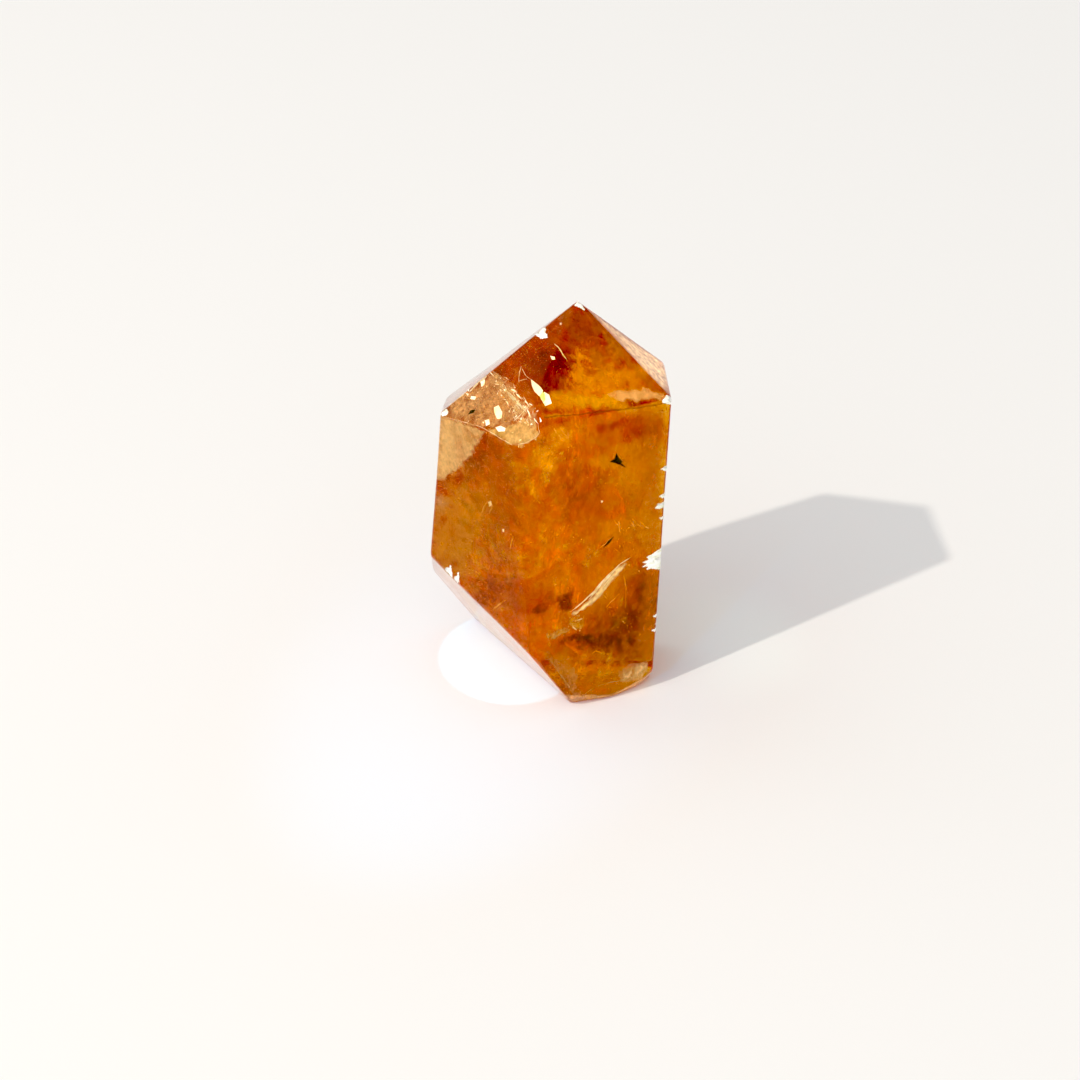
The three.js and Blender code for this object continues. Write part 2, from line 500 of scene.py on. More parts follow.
def veil_material(name, scale, pale, glow, strength, stain, base=0.5, streak=(1, 1, 0.4), turn=(0.3, 0.2, 0), edge=(0.36, 0.66), depth_of_tint=1.0):
    """A veil of minute pits: clear where thin, pale where thick, with a painted glow (emission standing in for sunlight
    scattered inside), and stained red-brown in places.
    Attribute haze is how thick it is, and attribute dark how deep the stain is."""
    m, nt, out = new_material(name)
    n = noise(nt, scale, 4.0, 0.62, stretch=streak, turn=turn)
    n2 = noise(nt, scale * 0.20, 3.0, 0.6, stretch=streak, turn=(turn[1], turn[0], 0.5))
    w = scaled(nt, n.outputs["Fac"], *edge, 0.0, 1.0)
    w2 = scaled(nt, n2.outputs["Fac"], 0.32, 0.68, 0.15, 1.65)
    fac = times(nt, times(nt, w.outputs["Result"], w2.outputs["Result"], False), attribute(nt, "haze"))
    tr = nt.nodes.new("ShaderNodeBsdfTransparent")
    n3 = noise(nt, scale * 0.5, 3.0, 0.65, stretch=(1, 1, 0.7), turn=(0.1, 0.5, 0.9))
    n4 = noise(nt, scale * 0.40, 4.0, 0.68, stretch=streak, turn=(0.7, 0.1, 0.4))
    w3 = scaled(nt, n3.outputs["Fac"], 0.28, 0.62, 0.35, 1.2)
    dark = times(nt, attribute(nt, "dark"), w3.outputs["Result"])
    nt.links.new(mixed_colour(nt, dark, (1.0, 1.0, 1.0), stain), tr.inputs["Color"])
    p = nt.nodes.new("ShaderNodeBsdfPrincipled")
    k = depth_of_tint
    tints = [(0.36, (1 - 0.50 * k, 1 - 0.70 * k, 0.2)), (0.50, (1 - 0.10 * k, 1 - 0.20 * k, 0.9)), (0.64, (1.08, 1 + 0.40 * k, 1.5))]
    pc = ramp(nt, n4.outputs["Fac"], [(at, tuple(min(1.0, c * base * f) for c, f in zip(pale, fs))) for at, fs in tints])
    nt.links.new(pc.outputs["Color"], p.inputs["Base Color"])
    p.inputs["Roughness"].default_value = 0.6
    gc = ramp(nt, n4.outputs["Fac"], [(at, tuple(min(1.0, c * f) for c, f in zip(glow, fs))) for at, fs in tints])
    nt.links.new(mixed_colour(nt, dark, gc.outputs["Color"], tuple(g * c * 0.5 for g, c in zip(glow, stain))), p.inputs["Emission Color"])
    p.inputs["Emission Strength"].default_value = strength
    mx = nt.nodes.new("ShaderNodeMixShader")
    nt.links.new(fac, mx.inputs["Fac"])
    nt.links.new(tr.outputs["BSDF"], mx.inputs[1])
    nt.links.new(p.outputs["BSDF"], mx.inputs[2])
    nt.links.new(mx.outputs["Shader"], out.inputs["Surface"])
    return m


# where the colour is deepest, and where the haze, with its painted glow, is thickest: centre, radii (mm), amount
DARK_SPOTS = [
    ((4.0, 0.8, 71.5), (5, 5, 4), 0.10), ((0.1, -5.2, 66.0), (3.0, 3.5, 4.0), 1.0),
    ((17.5, -5.0, 55.0), (4.5, 4.5, 5.0), 0.6), ((12.5, -5.4, 13.9), (8.0, 5.0, 3.6), 0.6),
    ((17.0, -4.0, 22.0), (4.0, 4.0, 6.0), 0.6), ((-3.9, -12.4, 25.0), (4.0, 4.0, 5.0), 0.25),
    ((2.9, -8.5, 43.5), (4.5, 4.0, 7.0), 0.45), ((16.5, -4.0, 44.0), (3.5, 3.0, 9.0), 0.5),
    ((6.0, 11.0, 30.0), (8.0, 4.0, 14.0), 0.4), ((-12.0, 4.0, 46.0), (4.0, 6.0, 9.0), 0.4),
]
HAZE_SPOTS = [
    ((8.1, -5.2, 62.0), (8.0, 5.0, 3.6), 0.85), ((3.2, -8.9, 61.0), (4.0, 4.0, 3.0), 0.6),
    ((9.0, -2.0, 66.0), (5.0, 4.0, 3.0), 0.45), ((4.5, 0.5, 70.0), (4.0, 4.0, 4.0), 0.35),
    ((-1.1, -11.5, 52.5), (2.4, 3.0, 3.0), 0.5), ((1.5, -11.5, 56.5), (2.5, 3.0, 2.5), 0.4),
    ((-11.0, -9.5, 36.0), (6.0, 6.0, 13.0), 0.35), ((6.9, -8.3, 7.0), (8.0, 5.0, 3.0), 0.6),
    ((7.0, -8.0, 31.0), (3.5, 4.0, 4.5), 0.45), ((12.0, -6.0, 47.0), (5.0, 4.0, 3.0), 0.35),
    ((-4.0, -13.0, 40.0), (5.0, 5.0, 12.0), 0.2), ((3.0, -9.0, 40.0), (4.0, 4.0, 9.0), 0.25),
    ((0.0, -5.2, 66.0), (3.0, 3.0, 4.0), -0.6),
]


def zone_attributes(ob, p, base, sway, seed, dark_base=0.08, calm=()):
    """Thinner on the walls that lean away, so that a veil's own outline doesn't show."""
    wall = np.exp(np.clip((p @ PN.T - PD) - (p @ PN.T - PD).max(axis=1)[:, None], -30, 0) / 0.8)
    side = wall[:, [list(FACETS).index(k) for k in ("P2", "T2", "P6", "T6", "T4")]].max(axis=1)
    haze = np.clip(base + sway * wave_noise(p, 12.0, seed, 2) + blobs(p, HAZE_SPOTS), 0.02, 1.0) * (1 - 0.65 * side)
    for k in calm:
        haze *= 1 - 0.8 * wall[:, list(FACETS).index(k)]
    add_attribute(ob.data, "haze", haze)
    add_attribute(ob.data, "dark", np.clip(dark_base + 0.10 * wave_noise(p, 11.0, seed + 1, 2) + blobs(p, DARK_SPOTS), 0.0, 1.0) * (1 - 0.5 * side))


STAIN = (0.60, 0.24, 0.03)
# the three veils emit light of their own (strength 0.42, 0.64, 0.86): a painted glow in place of sunlight scattered in
# the stone
skin_veil, vp = phantom("veil_near", 1.3, 0.35, 7.0, 81)
zone_attributes(skin_veil, vp, 0.30, 0.20, 82, calm=("T1",))
piece(skin_veil, veil_material("veil_near", 2.4, (0.86, 0.38, 0.02), (1.0, 0.40, 0.02), 0.42, (0.68, 0.30, 0.06), streak=(1, 1, 0.75), edge=(0.44, 0.62)))

outer_veil, vp = phantom("veil_outer", 3.6, 1.0, 9.0, 61)
zone_attributes(outer_veil, vp, 0.28, 0.20, 62)
piece(outer_veil, veil_material("veil_outer", 4.0, (1.0, 0.58, 0.10), (1.0, 0.42, 0.03), 0.64, STAIN, streak=(1, 1, 0.6), depth_of_tint=0.7))

inner_veil, vp = phantom("veil_inner", 7.6, 1.6, 10.0, 71, sub=5)
zone_attributes(inner_veil, vp, 0.60, 0.35, 72, 0.20)
piece(inner_veil, veil_material("veil_inner", 6.0, (1.0, 0.62, 0.20), (1.0, 0.38, 0.02), 0.86, STAIN, depth_of_tint=0.7))


# ------------------------------------------------------------------ sheets, plates, ribbons
SKIN = {
    "right_1": [(20.06, -6.04, 46.90), (18.24, -6.82, 46.59), (18.66, -6.63, 46.19), (20.01, -6.03, 45.71)],
    "right_2": [(20.12, -5.87, 41.59), (18.25, -6.67, 41.01), (18.81, -6.42, 40.52), (20.08, -5.85, 40.14)],
    "right_3": [(20.09, -5.84, 39.76), (18.83, -6.38, 39.57), (17.62, -6.89, 38.92), (18.52, -6.48, 38.40), (20.05, -5.81, 38.22)],
    "right_4": [(20.01, -5.79, 36.72), (18.40, -6.49, 36.63), (18.92, -6.25, 36.18), (19.98, -5.78, 35.90)],
    "right_5": [(19.93, -5.65, 30.26), (18.49, -6.28, 30.05), (17.48, -6.70, 29.44), (16.47, -7.13, 29.09), (16.99, -6.89, 28.55), (15.81, -7.40, 28.25), (16.67, -7.01, 27.77), (15.57, -7.47, 27.19), (17.03, -6.83, 26.94), (16.27, -7.15, 26.42), (17.81, -6.47, 26.22), (19.90, -5.53, 25.18)],
    "right_6": [(19.27, -5.58, 16.55), (17.89, -6.16, 15.99), (18.42, -5.92, 15.57), (19.21, -5.57, 15.40)],
    "right_7": [(19.15, -5.57, 14.48), (18.29, -5.93, 14.01), (19.08, -5.58, 13.57)],
    "right_8": [(19.14, -5.55, 13.37), (17.79, -6.12, 12.97), (18.33, -5.88, 12.46), (19.12, -5.52, 12.20)],
    "low_left_1": [(-16.94, -8.01, 26.46), (-16.16, -8.64, 28.89), (-15.94, -8.68, 27.77), (-15.81, -8.63, 25.97), (-16.44, -8.27, 26.02)],
    "low_left_2": [(-15.25, -8.93, 25.67), (-14.72, -9.47, 28.82), (-14.71, -9.35, 27.22), (-14.63, -9.26, 25.29)],
    "notch": [(-2.27, -2.23, 70.02), (-1.04, -1.78, 70.76), (-0.52, -2.65, 70.48), (0.10, -3.95, 70.00), (-0.83, -4.03, 69.59), (-1.87, -3.05, 69.73)],
    "tip": [(4.07, -0.16, 73.97), (4.81, 0.52, 74.31), (5.60, 0.41, 73.82), (6.13, -0.06, 73.08), (5.92, -0.53, 72.70), (5.27, -0.33, 73.22)],
    "right_corner": [(18.31, -7.14, 59.73), (19.23, -6.78, 60.94), (20.17, -6.38, 61.44), (20.22, -6.28, 58.61)],
    "left_corner": [(-17.52, -10.27, 59.59), (-16.18, -9.91, 60.31), (-15.85, -10.68, 60.02), (-16.45, -11.18, 59.50), (-17.50, -11.23, 59.06)],
}
GLINTS = {
    "wedge_a": [(-2.41, -8.26, 64.37), (-1.69, -9.07, 64.20), (-0.88, -10.33, 63.82), (-1.45, -11.03, 63.21), (-2.02, -10.19, 63.45), (-2.28, -9.23, 63.89)],
    "wedge_b": [(-0.72, -10.38, 63.62), (0.14, -11.07, 63.58), (0.71, -12.54, 62.99), (-0.47, -12.66, 62.46), (-1.26, -11.19, 62.96)],
    "oval": [(-8.37, -11.10, 60.91), (-7.65, -10.97, 61.26), (-7.12, -12.15, 60.82), (-7.29, -12.96, 60.30), (-7.96, -12.87, 60.09), (-8.33, -11.91, 60.48)],
    "dot_top": [(0.49, -5.59, 67.22), (0.97, -5.77, 67.31), (1.02, -6.23, 67.07), (0.54, -6.10, 66.95)],
    "dot_small": [(2.07, -1.65, 71.18), (2.35, -1.57, 71.13), (2.35, -1.80, 70.89), (2.07, -1.88, 70.94)],
    "shard_1": [(-10.64, -6.42, 63.07), (-9.91, -6.44, 63.35), (-10.03, -7.19, 62.89), (-10.47, -7.44, 62.57)],
    "shard_2": [(-12.90, -6.71, 62.03), (-12.30, -7.08, 62.06), (-12.40, -7.60, 61.73), (-12.84, -7.29, 61.73)],
    "shard_3": [(-12.15, -8.33, 61.42), (-11.34, -8.69, 61.54), (-11.53, -9.11, 61.23), (-12.27, -8.76, 61.13)],
    "shard_4": [(-12.93, -7.71, 61.46), (-12.54, -7.84, 61.54), (-12.64, -8.16, 61.32)],
    "shard_5": [(-9.93, -12.91, 59.75), (-9.24, -12.95, 60.00), (-9.15, -13.64, 59.64), (-9.68, -13.62, 59.45)],
    "shard_6": [(-8.32, -14.39, 59.56), (-7.52, -14.39, 59.86), (-6.72, -15.00, 59.84), (-6.87, -15.42, 59.54), (-7.83, -15.17, 59.31)],
    "shard_13": [(-15.89, -8.68, 59.99), (-15.25, -8.42, 60.39), (-15.40, -8.92, 60.04)],
    "shard_14": [(8.48, -9.02, 42.40), (8.76, -8.89, 42.31), (8.77, -8.88, 41.94), (8.48, -9.01, 42.03)],
    "shard_15": [(-9.37, -12.14, 44.13), (-8.87, -12.46, 44.54), (-8.72, -12.49, 43.77), (-9.14, -12.21, 43.19)],
    "shard_16": [(-7.03, -13.15, 39.47), (-6.74, -13.33, 39.60), (-6.79, -13.25, 38.94), (-7.02, -13.12, 38.93)],
    "wedge_c": [(-1.15, -10.35, 63.59), (-0.67, -10.64, 63.62), (-0.39, -11.76, 63.10), (-0.72, -12.08, 62.79), (-1.41, -10.97, 63.15)],
}
PALE = {
    "shoulder": [(-17.10, -8.31, 58.82), (-14.84, -7.46, 60.18), (-12.44, -6.49, 61.66), (-9.69, -5.10, 63.51), (-8.07, -5.21, 64.08), (-6.29, -7.31, 63.61), (-4.99, -9.88, 62.68), (-2.43, -13.14, 61.87), (-3.54, -14.01, 60.96), (-6.24, -14.56, 59.59), (-9.93, -13.53, 58.73), (-14.24, -10.96, 58.47), (-16.91, -9.49, 58.24)],
    "left_side": [(-17.23, -8.69, 58.90), (-14.05, -10.53, 59.00), (-9.44, -13.15, 58.61), (-9.78, -12.85, 57.18), (-10.95, -12.02, 55.03), (-11.45, -11.60, 53.12), (-12.72, -10.71, 51.05), (-13.57, -10.10, 49.34), (-15.48, -8.84, 47.12), (-16.47, -8.15, 45.38), (-18.24, -7.08, 44.66)],
    "left_band": [(-18.61, -6.98, 42.13), (-17.08, -7.93, 43.07), (-15.60, -8.71, 42.11), (-15.81, -8.45, 40.14), (-17.01, -7.64, 38.58), (-18.72, -6.61, 37.87)],
    "front_corner": [(-10.11, -13.81, 58.94), (-5.16, -16.16, 56.95), (-1.66, -15.71, 58.10), (-1.12, -15.11, 58.92), (-2.05, -13.53, 60.65), (-4.04, -13.14, 60.78), (-6.59, -13.83, 59.52)],
    "right_band": [(8.97, -8.24, 62.45), (10.43, -7.36, 62.66), (14.99, -5.93, 61.96), (17.44, -5.52, 61.23), (19.57, -5.65, 60.07), (19.73, -6.35, 59.27), (14.98, -7.89, 59.95), (10.42, -9.25, 60.72), (9.13, -8.99, 61.60)],
    "mid_band": [(-1.21, -13.09, 61.37), (1.18, -12.12, 61.23), (3.74, -11.56, 60.59), (3.42, -12.33, 59.95), (1.18, -13.37, 59.95), (-1.05, -13.89, 60.47)],
    "foot_left": [(-0.05, -11.96, 12.35), (2.16, -10.97, 11.38), (4.23, -10.02, 9.36), (5.46, -9.40, 6.29), (5.30, -9.41, 4.13), (3.74, -10.12, 5.12), (1.84, -11.04, 8.43)],
    "foot_right": [(12.01, -7.30, 5.72), (14.09, -6.41, 6.45), (17.41, -4.95, 6.31), (17.79, -4.75, 5.06), (16.80, -5.11, 2.27), (14.53, -6.09, 1.72), (11.71, -7.35, 2.59)],
    # the next outline is painted light: a pale peach sliver for the bright floor seen through this narrow facet
    "right_sliver": [(5.66, 0.84, 72.90), (9.46, 2.90, 68.80), (13.31, 4.34, 64.73), (17.60, 7.04, 60.05), (19.64, 6.87, 58.03), (20.25, 3.31, 57.88), (19.85, -3.82, 59.23), (19.34, -6.03, 60.04), (16.32, -4.87, 62.92), (11.79, -2.37, 67.15), (8.24, -0.61, 70.50)],
    "fracture_face": [(15.06, -4.59, 27.64), (12.33, -5.79, 27.87), (10.66, -6.48, 26.51), (9.33, -7.02, 24.82), (8.33, -7.41, 23.24), (6.65, -8.10, 21.44), (4.12, -9.17, 19.92), (3.62, -9.35, 18.59), (6.70, -7.97, 17.14), (10.42, -6.41, 19.78), (13.12, -5.30, 22.33), (15.98, -4.12, 24.81)],
    "cluster": [(2.94, -10.66, 19.89), (4.46, -10.00, 20.24), (6.00, -9.29, 18.66), (6.18, -9.16, 16.88), (5.17, -9.57, 15.49), (3.63, -10.28, 16.87), (2.78, -10.69, 18.44)],
    "low_edge": [(-0.86, -13.56, 15.11), (0.49, -12.94, 14.21), (2.37, -12.02, 10.53), (4.45, -11.00, 6.29), (6.73, -9.90, 2.38), (5.53, -10.41, 1.57), (3.44, -11.37, 3.53), (1.35, -12.43, 9.12)],
    "fracture_band": [(13.69, -7.36, 28.55), (12.67, -7.81, 28.77), (11.32, -8.38, 28.15), (9.83, -9.00, 26.63), (8.50, -9.53, 24.74), (6.83, -10.21, 23.06), (5.15, -10.91, 21.70), (3.64, -11.54, 20.70), (3.90, -11.41, 19.98), (6.01, -10.51, 20.67), (8.03, -9.65, 21.82), (9.70, -8.97, 23.61), (11.03, -8.44, 25.51), (12.36, -7.90, 26.98)],
    "low_wedge": [(-0.73, -12.39, 17.44), (1.12, -11.59, 17.68), (2.81, -10.86, 18.09), (3.83, -10.39, 17.10), (2.65, -10.88, 16.10), (0.62, -11.76, 15.81), (-0.90, -12.44, 16.43)],
    "arris_line": [(-0.33, -15.07, 62.39), (3.81, -13.23, 61.53), (8.31, -11.25, 60.76), (14.81, -8.38, 59.86), (19.25, -6.43, 59.40), (19.26, -6.42, 58.97), (14.82, -8.36, 59.39), (8.32, -11.23, 60.26), (3.82, -13.22, 61.07), (-0.33, -15.05, 61.93)],
    "right_strip": [(14.24, -8.03, 59.45), (19.34, -5.79, 58.80), (19.87, -5.20, 45.60), (20.05, -4.63, 27.00), (19.65, -4.36, 9.88), (18.54, -4.73, 5.38), (15.21, -6.18, 5.19), (14.73, -6.55, 11.54), (15.40, -6.70, 28.47), (15.00, -7.37, 47.03)],
    "arris_glow": [(5.41, 1.03, 73.09), (8.96, -0.40, 69.92), (13.83, -2.77, 65.16), (19.19, -5.30, 59.99), (17.22, -6.26, 59.93), (11.87, -3.68, 65.15), (7.34, -1.33, 69.73), (4.60, 0.27, 72.69)],
    "shoulder_band": [(-9.24, -5.53, 63.78), (-7.62, -5.67, 64.34), (-5.68, -7.84, 63.89), (-4.07, -10.45, 63.07), (-1.67, -13.46, 62.33), (-0.88, -15.46, 61.53), (-2.62, -15.67, 60.73), (-4.69, -14.21, 60.74), (-6.62, -11.52, 61.48), (-8.08, -8.80, 62.41)],
}
# zones of deeper colour (films) and golden zones that glow with painted light: centre and two half axes (mm)
DARK_AND_GLOW_ZONES = {
    "left_gold": ((-15.64, -8.28, 33.72), (6.13, -3.72, 2.60), (-0.29, 1.20, -14.25)),
    "left_gold_2": ((-11.08, -11.27, 42.88), (5.32, -3.22, 2.19), (-0.09, 0.51, -6.28)),
    "left_brown": ((-9.82, -10.66, 24.43), (5.64, -3.90, 8.95), (2.46, -1.23, -2.49)),
    "spot_1": ((2.91, -11.74, 23.72), (1.46, 0.67, -0.97), (-0.55, -0.18, -2.48)),
    "spot_2": ((-1.27, -13.56, 23.40), (1.81, 0.79, -0.19), (0.20, 0.13, -1.52)),
    "spot_3": ((0.67, -12.35, 24.50), (2.34, 1.04, -0.76), (0.00, 0.05, -1.90)),
    "low_band": ((9.78, -8.16, 12.51), (7.60, 3.41, -3.23), (-0.10, 0.02, -2.36)),
    "low_band_2": ((5.18, -10.52, 14.62), (3.36, 1.48, -0.38), (0.25, 0.16, -1.79)),
    "right_dark_1": ((16.86, -5.51, 21.91), (3.12, 1.39, -1.01), (0.10, 0.16, -4.30)),
    "right_dark_2": ((18.01, -4.99, 17.71), (1.75, 0.78, -0.57), (0.06, 0.09, -2.39)),
    "right_dark_3": ((14.19, -6.21, 15.34), (4.52, 2.01, -1.50), (0.08, 0.14, -3.93)),
    "low_right": ((13.64, -6.27, 8.31), (6.26, 2.77, -1.30), (0.20, 0.14, -2.04)),
    "red_corner": ((14.11, -7.58, 55.25), (6.60, 2.93, -1.88), (0.07, 0.13, -3.54)),
    "red_corner_2": ((17.46, -6.40, 54.61), (2.66, 1.18, -0.76), (0.08, 0.12, -3.16)),
    "glow_1": ((-0.57, -13.45, 53.23), (2.73, 1.21, -0.80), (0.00, 0.08, -2.93)),
    "glow_2": ((1.83, -12.49, 56.82), (1.93, 0.86, -0.55), (0.01, 0.07, -2.52)),
    "glow_3": ((9.03, -9.17, 50.03), (4.28, 1.90, -1.25), (0.02, 0.06, -1.79)),
    "red_column": ((1.93, -11.48, 45.89), (3.59, 1.60, -1.08), (0.03, 0.20, -7.20)),
    "gold_right": ((11.37, -7.59, 35.93), (4.71, 2.04, 0.66), (0.97, 0.51, -3.39)),
    "gold_low": ((8.77, -7.10, 25.97), (3.03, 1.28, 1.69), (2.60, 1.27, -5.32)),
    "apex_brown": ((4.75, -1.32, 70.83), (3.23, 0.95, -0.56), (-0.01, -1.95, -2.01)),
    "top_gold": ((10.49, -5.64, 62.90), (8.77, 2.53, -1.56), (-0.01, -2.29, -2.36)),
    "top_gold_2": ((2.74, -9.93, 62.17), (4.52, 2.46, 0.39), (0.76, -1.27, -1.68)),
    "top_brown": ((7.64, -2.22, 68.37), (3.22, -0.98, -2.54), (-2.09, -2.37, -1.45)),
    "arris_gold": ((7.36, -10.01, 61.57), (7.99, 1.60, -2.16), (-0.18, -1.07, -1.02)),
    "left_tone": ((-8.50, -13.32, 45.15), (5.92, -3.59, 2.43), (-0.18, 1.37, -17.43)),
    "centre_glow": ((4.05, -11.07, 39.49), (4.63, 2.06, -1.42), (0.08, 0.31, -10.59)),
    "apex_glow": ((4.77, -1.71, 70.71), (3.70, -1.12, -2.92), (-2.29, -2.60, -1.60)),
    "apex_glow_2": ((10.25, -3.01, 66.62), (4.54, 3.56, 1.51), (1.48, -1.07, -1.81)),
    "low_red": ((9.25, -7.59, 15.34), (10.34, 4.60, -3.44), (0.10, 0.24, -7.40)),
    "right_red": ((15.37, -5.48, 22.10), (4.49, 2.00, -1.45), (0.18, 0.29, -8.16)),
    "corner_brown": ((-8.08, -13.61, 55.61), (2.75, -1.66, 1.08), (-0.03, 0.22, -2.82)),
}
SLIVERS = [  # ends, width (mm)
    ((14.02, -7.34, 29.64), (11.34, -8.48, 28.40), 0.28),
    ((12.36, -8.15, 29.06), (8.69, -9.65, 25.40), 0.44),
    ((11.51, -8.39, 28.03), (8.51, -9.62, 24.78), 0.30),
    ((10.52, -8.91, 27.65), (7.03, -10.33, 23.40), 0.51),
    ((9.68, -9.14, 26.09), (6.68, -10.36, 22.73), 0.35),
    ((8.70, -9.64, 25.08), (4.84, -11.24, 21.99), 0.37),
    ((11.02, -8.58, 27.03), (8.86, -9.46, 24.35), 0.21),
    ((6.84, -10.31, 23.31), (3.65, -11.65, 21.17), 0.32),
    ((4.66, -11.05, 19.08), (5.77, -10.57, 19.08), 0.32),
    ((3.96, -11.14, 18.05), (4.82, -10.73, 16.80), 0.23),
]
CRACKS = {
    "streak": [(1.19, -4.12, 68.61), (1.84, -4.61, 67.79), (2.24, -5.01, 67.19), (2.85, -5.33, 66.56)],
    "crack_a": [(-4.10, -5.98, 65.54), (-4.32, -7.02, 64.88), (-4.46, -8.31, 64.10)],
    "crack_b": [(-4.10, -5.98, 65.54), (-3.23, -7.96, 64.78), (-2.47, -8.66, 64.69)],
    "crack_c": [(-4.46, -8.31, 64.10), (-3.08, -8.31, 64.64)],
    "crack_d": [(-6.03, -9.72, 63.05), (-4.90, -11.36, 62.57), (-3.62, -13.37, 61.96)],
    "crack_e": [(-7.00, -8.12, 63.56), (-5.86, -10.41, 62.73), (-4.42, -12.71, 62.01)],
    "crack_f": [(-12.36, -7.69, 62.04), (-10.75, -6.78, 63.17), (-9.63, -6.19, 63.94)],
    "crack_g": [(-15.25, -8.73, 60.32), (-13.81, -8.17, 61.20), (-12.68, -7.58, 61.97)],
    "crack_h": [(-2.98, -12.63, 62.62), (-3.86, -13.45, 61.82), (-5.37, -14.22, 60.80)],
    # the next two paths are painted highlights: bright lines along the arrises
    "arris_a": [(-16.05, -10.40, 59.03), (-13.12, -12.10, 59.22), (-10.05, -13.87, 59.24), (-7.81, -15.09, 58.36), (-5.65, -16.28, 57.61)],
    "arris_b": [(-5.02, -16.44, 57.58), (-3.43, -16.30, 58.02), (-1.76, -16.00, 58.68), (-1.27, -15.43, 59.44), (-1.52, -14.69, 60.29)],
    "low_edge_a": [(-0.52, -13.38, 14.13), (1.35, -12.45, 10.00), (3.25, -11.51, 5.82), (5.00, -10.66, 2.32)],
    "foot_top": [(5.68, -10.26, 2.03), (7.57, -9.46, 3.27), (10.00, -8.41, 3.65), (13.15, -7.02, 3.23), (15.95, -5.80, 3.37)],
}
WISPS = {
    "needle_a": [(-8.62, -10.95, 21.69), (-7.59, -11.64, 23.14), (-6.49, -12.39, 24.62)],
    "a": [(13.76, -6.97, 37.31), (14.63, -6.56, 36.02), (15.41, -6.18, 34.74)],
    "b": [(13.34, -7.15, 37.13), (13.95, -6.85, 35.91), (14.40, -6.62, 34.64)],
    "c": [(15.15, -6.54, 36.55), (15.94, -6.16, 35.28), (16.72, -5.80, 34.42)],
    "d": [(10.76, -7.90, 37.76), (11.36, -7.60, 36.45), (11.89, -7.33, 34.84)],
    "d2": [(11.43, -7.60, 37.35), (11.70, -7.45, 36.24), (11.64, -7.45, 35.13)],
    "f": [(12.65, -6.76, 25.52), (12.93, -6.56, 22.46), (12.95, -6.45, 18.61)],
    "g": [(-5.32, -13.98, 38.68), (-5.54, -13.75, 37.32), (-5.80, -13.49, 35.84)],
    "mid": [(0.59, -12.89, 59.03), (1.31, -12.54, 57.66), (2.20, -12.11, 55.95)],
    "mid_2": [(1.63, -12.44, 58.92), (2.28, -12.12, 57.48), (3.01, -11.77, 56.30)],
    "m": [(-9.35, -12.08, 44.51), (-10.20, -11.43, 42.29), (-10.72, -10.99, 40.40)],
    "n": [(-8.53, -12.50, 43.81), (-9.21, -11.97, 41.86)],
    "q": [(7.41, -9.25, 10.73), (8.09, -8.96, 11.27), (8.96, -8.55, 10.20)],
    "r": [(9.56, -7.77, 19.85), (10.57, -7.35, 20.80), (11.75, -6.86, 21.91)],
    "s": [(8.40, -8.80, 32.72), (9.40, -8.38, 33.45), (10.39, -7.97, 34.38)],
}
SPECKS = {
    "speck": [(9.96, -9.85, 50.22), (10.74, -9.52, 50.55), (11.08, -9.40, 51.67), (11.53, -9.17, 50.44), (12.10, -8.90, 49.64), (11.62, -9.10, 49.10), (11.02, -9.37, 49.60)],
    "speck_tail": [(11.59, -9.13, 49.75), (12.86, -8.53, 48.14), (11.82, -9.01, 48.97)],
    "dark_needle": [(9.03, -9.31, 32.81), (9.89, -8.97, 34.04), (10.92, -8.54, 34.75), (10.13, -8.85, 33.55)],
    "dark_dot": [(-12.16, -10.79, 60.39), (-11.45, -10.89, 60.61), (-11.67, -11.33, 60.28), (-12.71, -11.37, 59.85)],
    "dark_dot_2": [(9.73, -9.21, 60.89), (10.23, -9.37, 60.50), (10.08, -9.73, 60.19)],
}


def plane_axes(poly):
    q = np.array(poly)
    c = q.mean(axis=0)
    n = np.zeros(3)
    for a, b in zip(q, np.roll(q, -1, axis=0)):
        n += np.cross(a - c, b - c)
    n /= np.linalg.norm(n)
    u = q[1] - q[0]
    u -= n * (u @ n)
    u /= np.linalg.norm(u)
    v = np.cross(n, u)
    return c, n, u, v


def inside_polygon(poly2, x, y):
    ok = np.zeros(len(x), bool)
    for (x0, y0), (x1, y1) in zip(poly2, np.roll(poly2, -1, axis=0)):
        if y0 == y1:
            continue
        hit = ((y0 > y) != (y1 > y)) & (x < (x1 - x0) * (y - y0) / (y1 - y0) + x0)
        ok ^= hit
    return ok


def edge_distance(poly2, x, y):
    best = np.full(len(x), 1e9)
    p = np.stack([x, y], 1)
    for a, b in zip(poly2, np.roll(poly2, -1, axis=0)):
        ab = b - a
        t = np.clip(((p - a) @ ab) / max(ab @ ab, 1e-12), 0, 1)
        best = np.minimum(best, np.linalg.norm(p - a - t[:, None] * ab, axis=1))
    return best


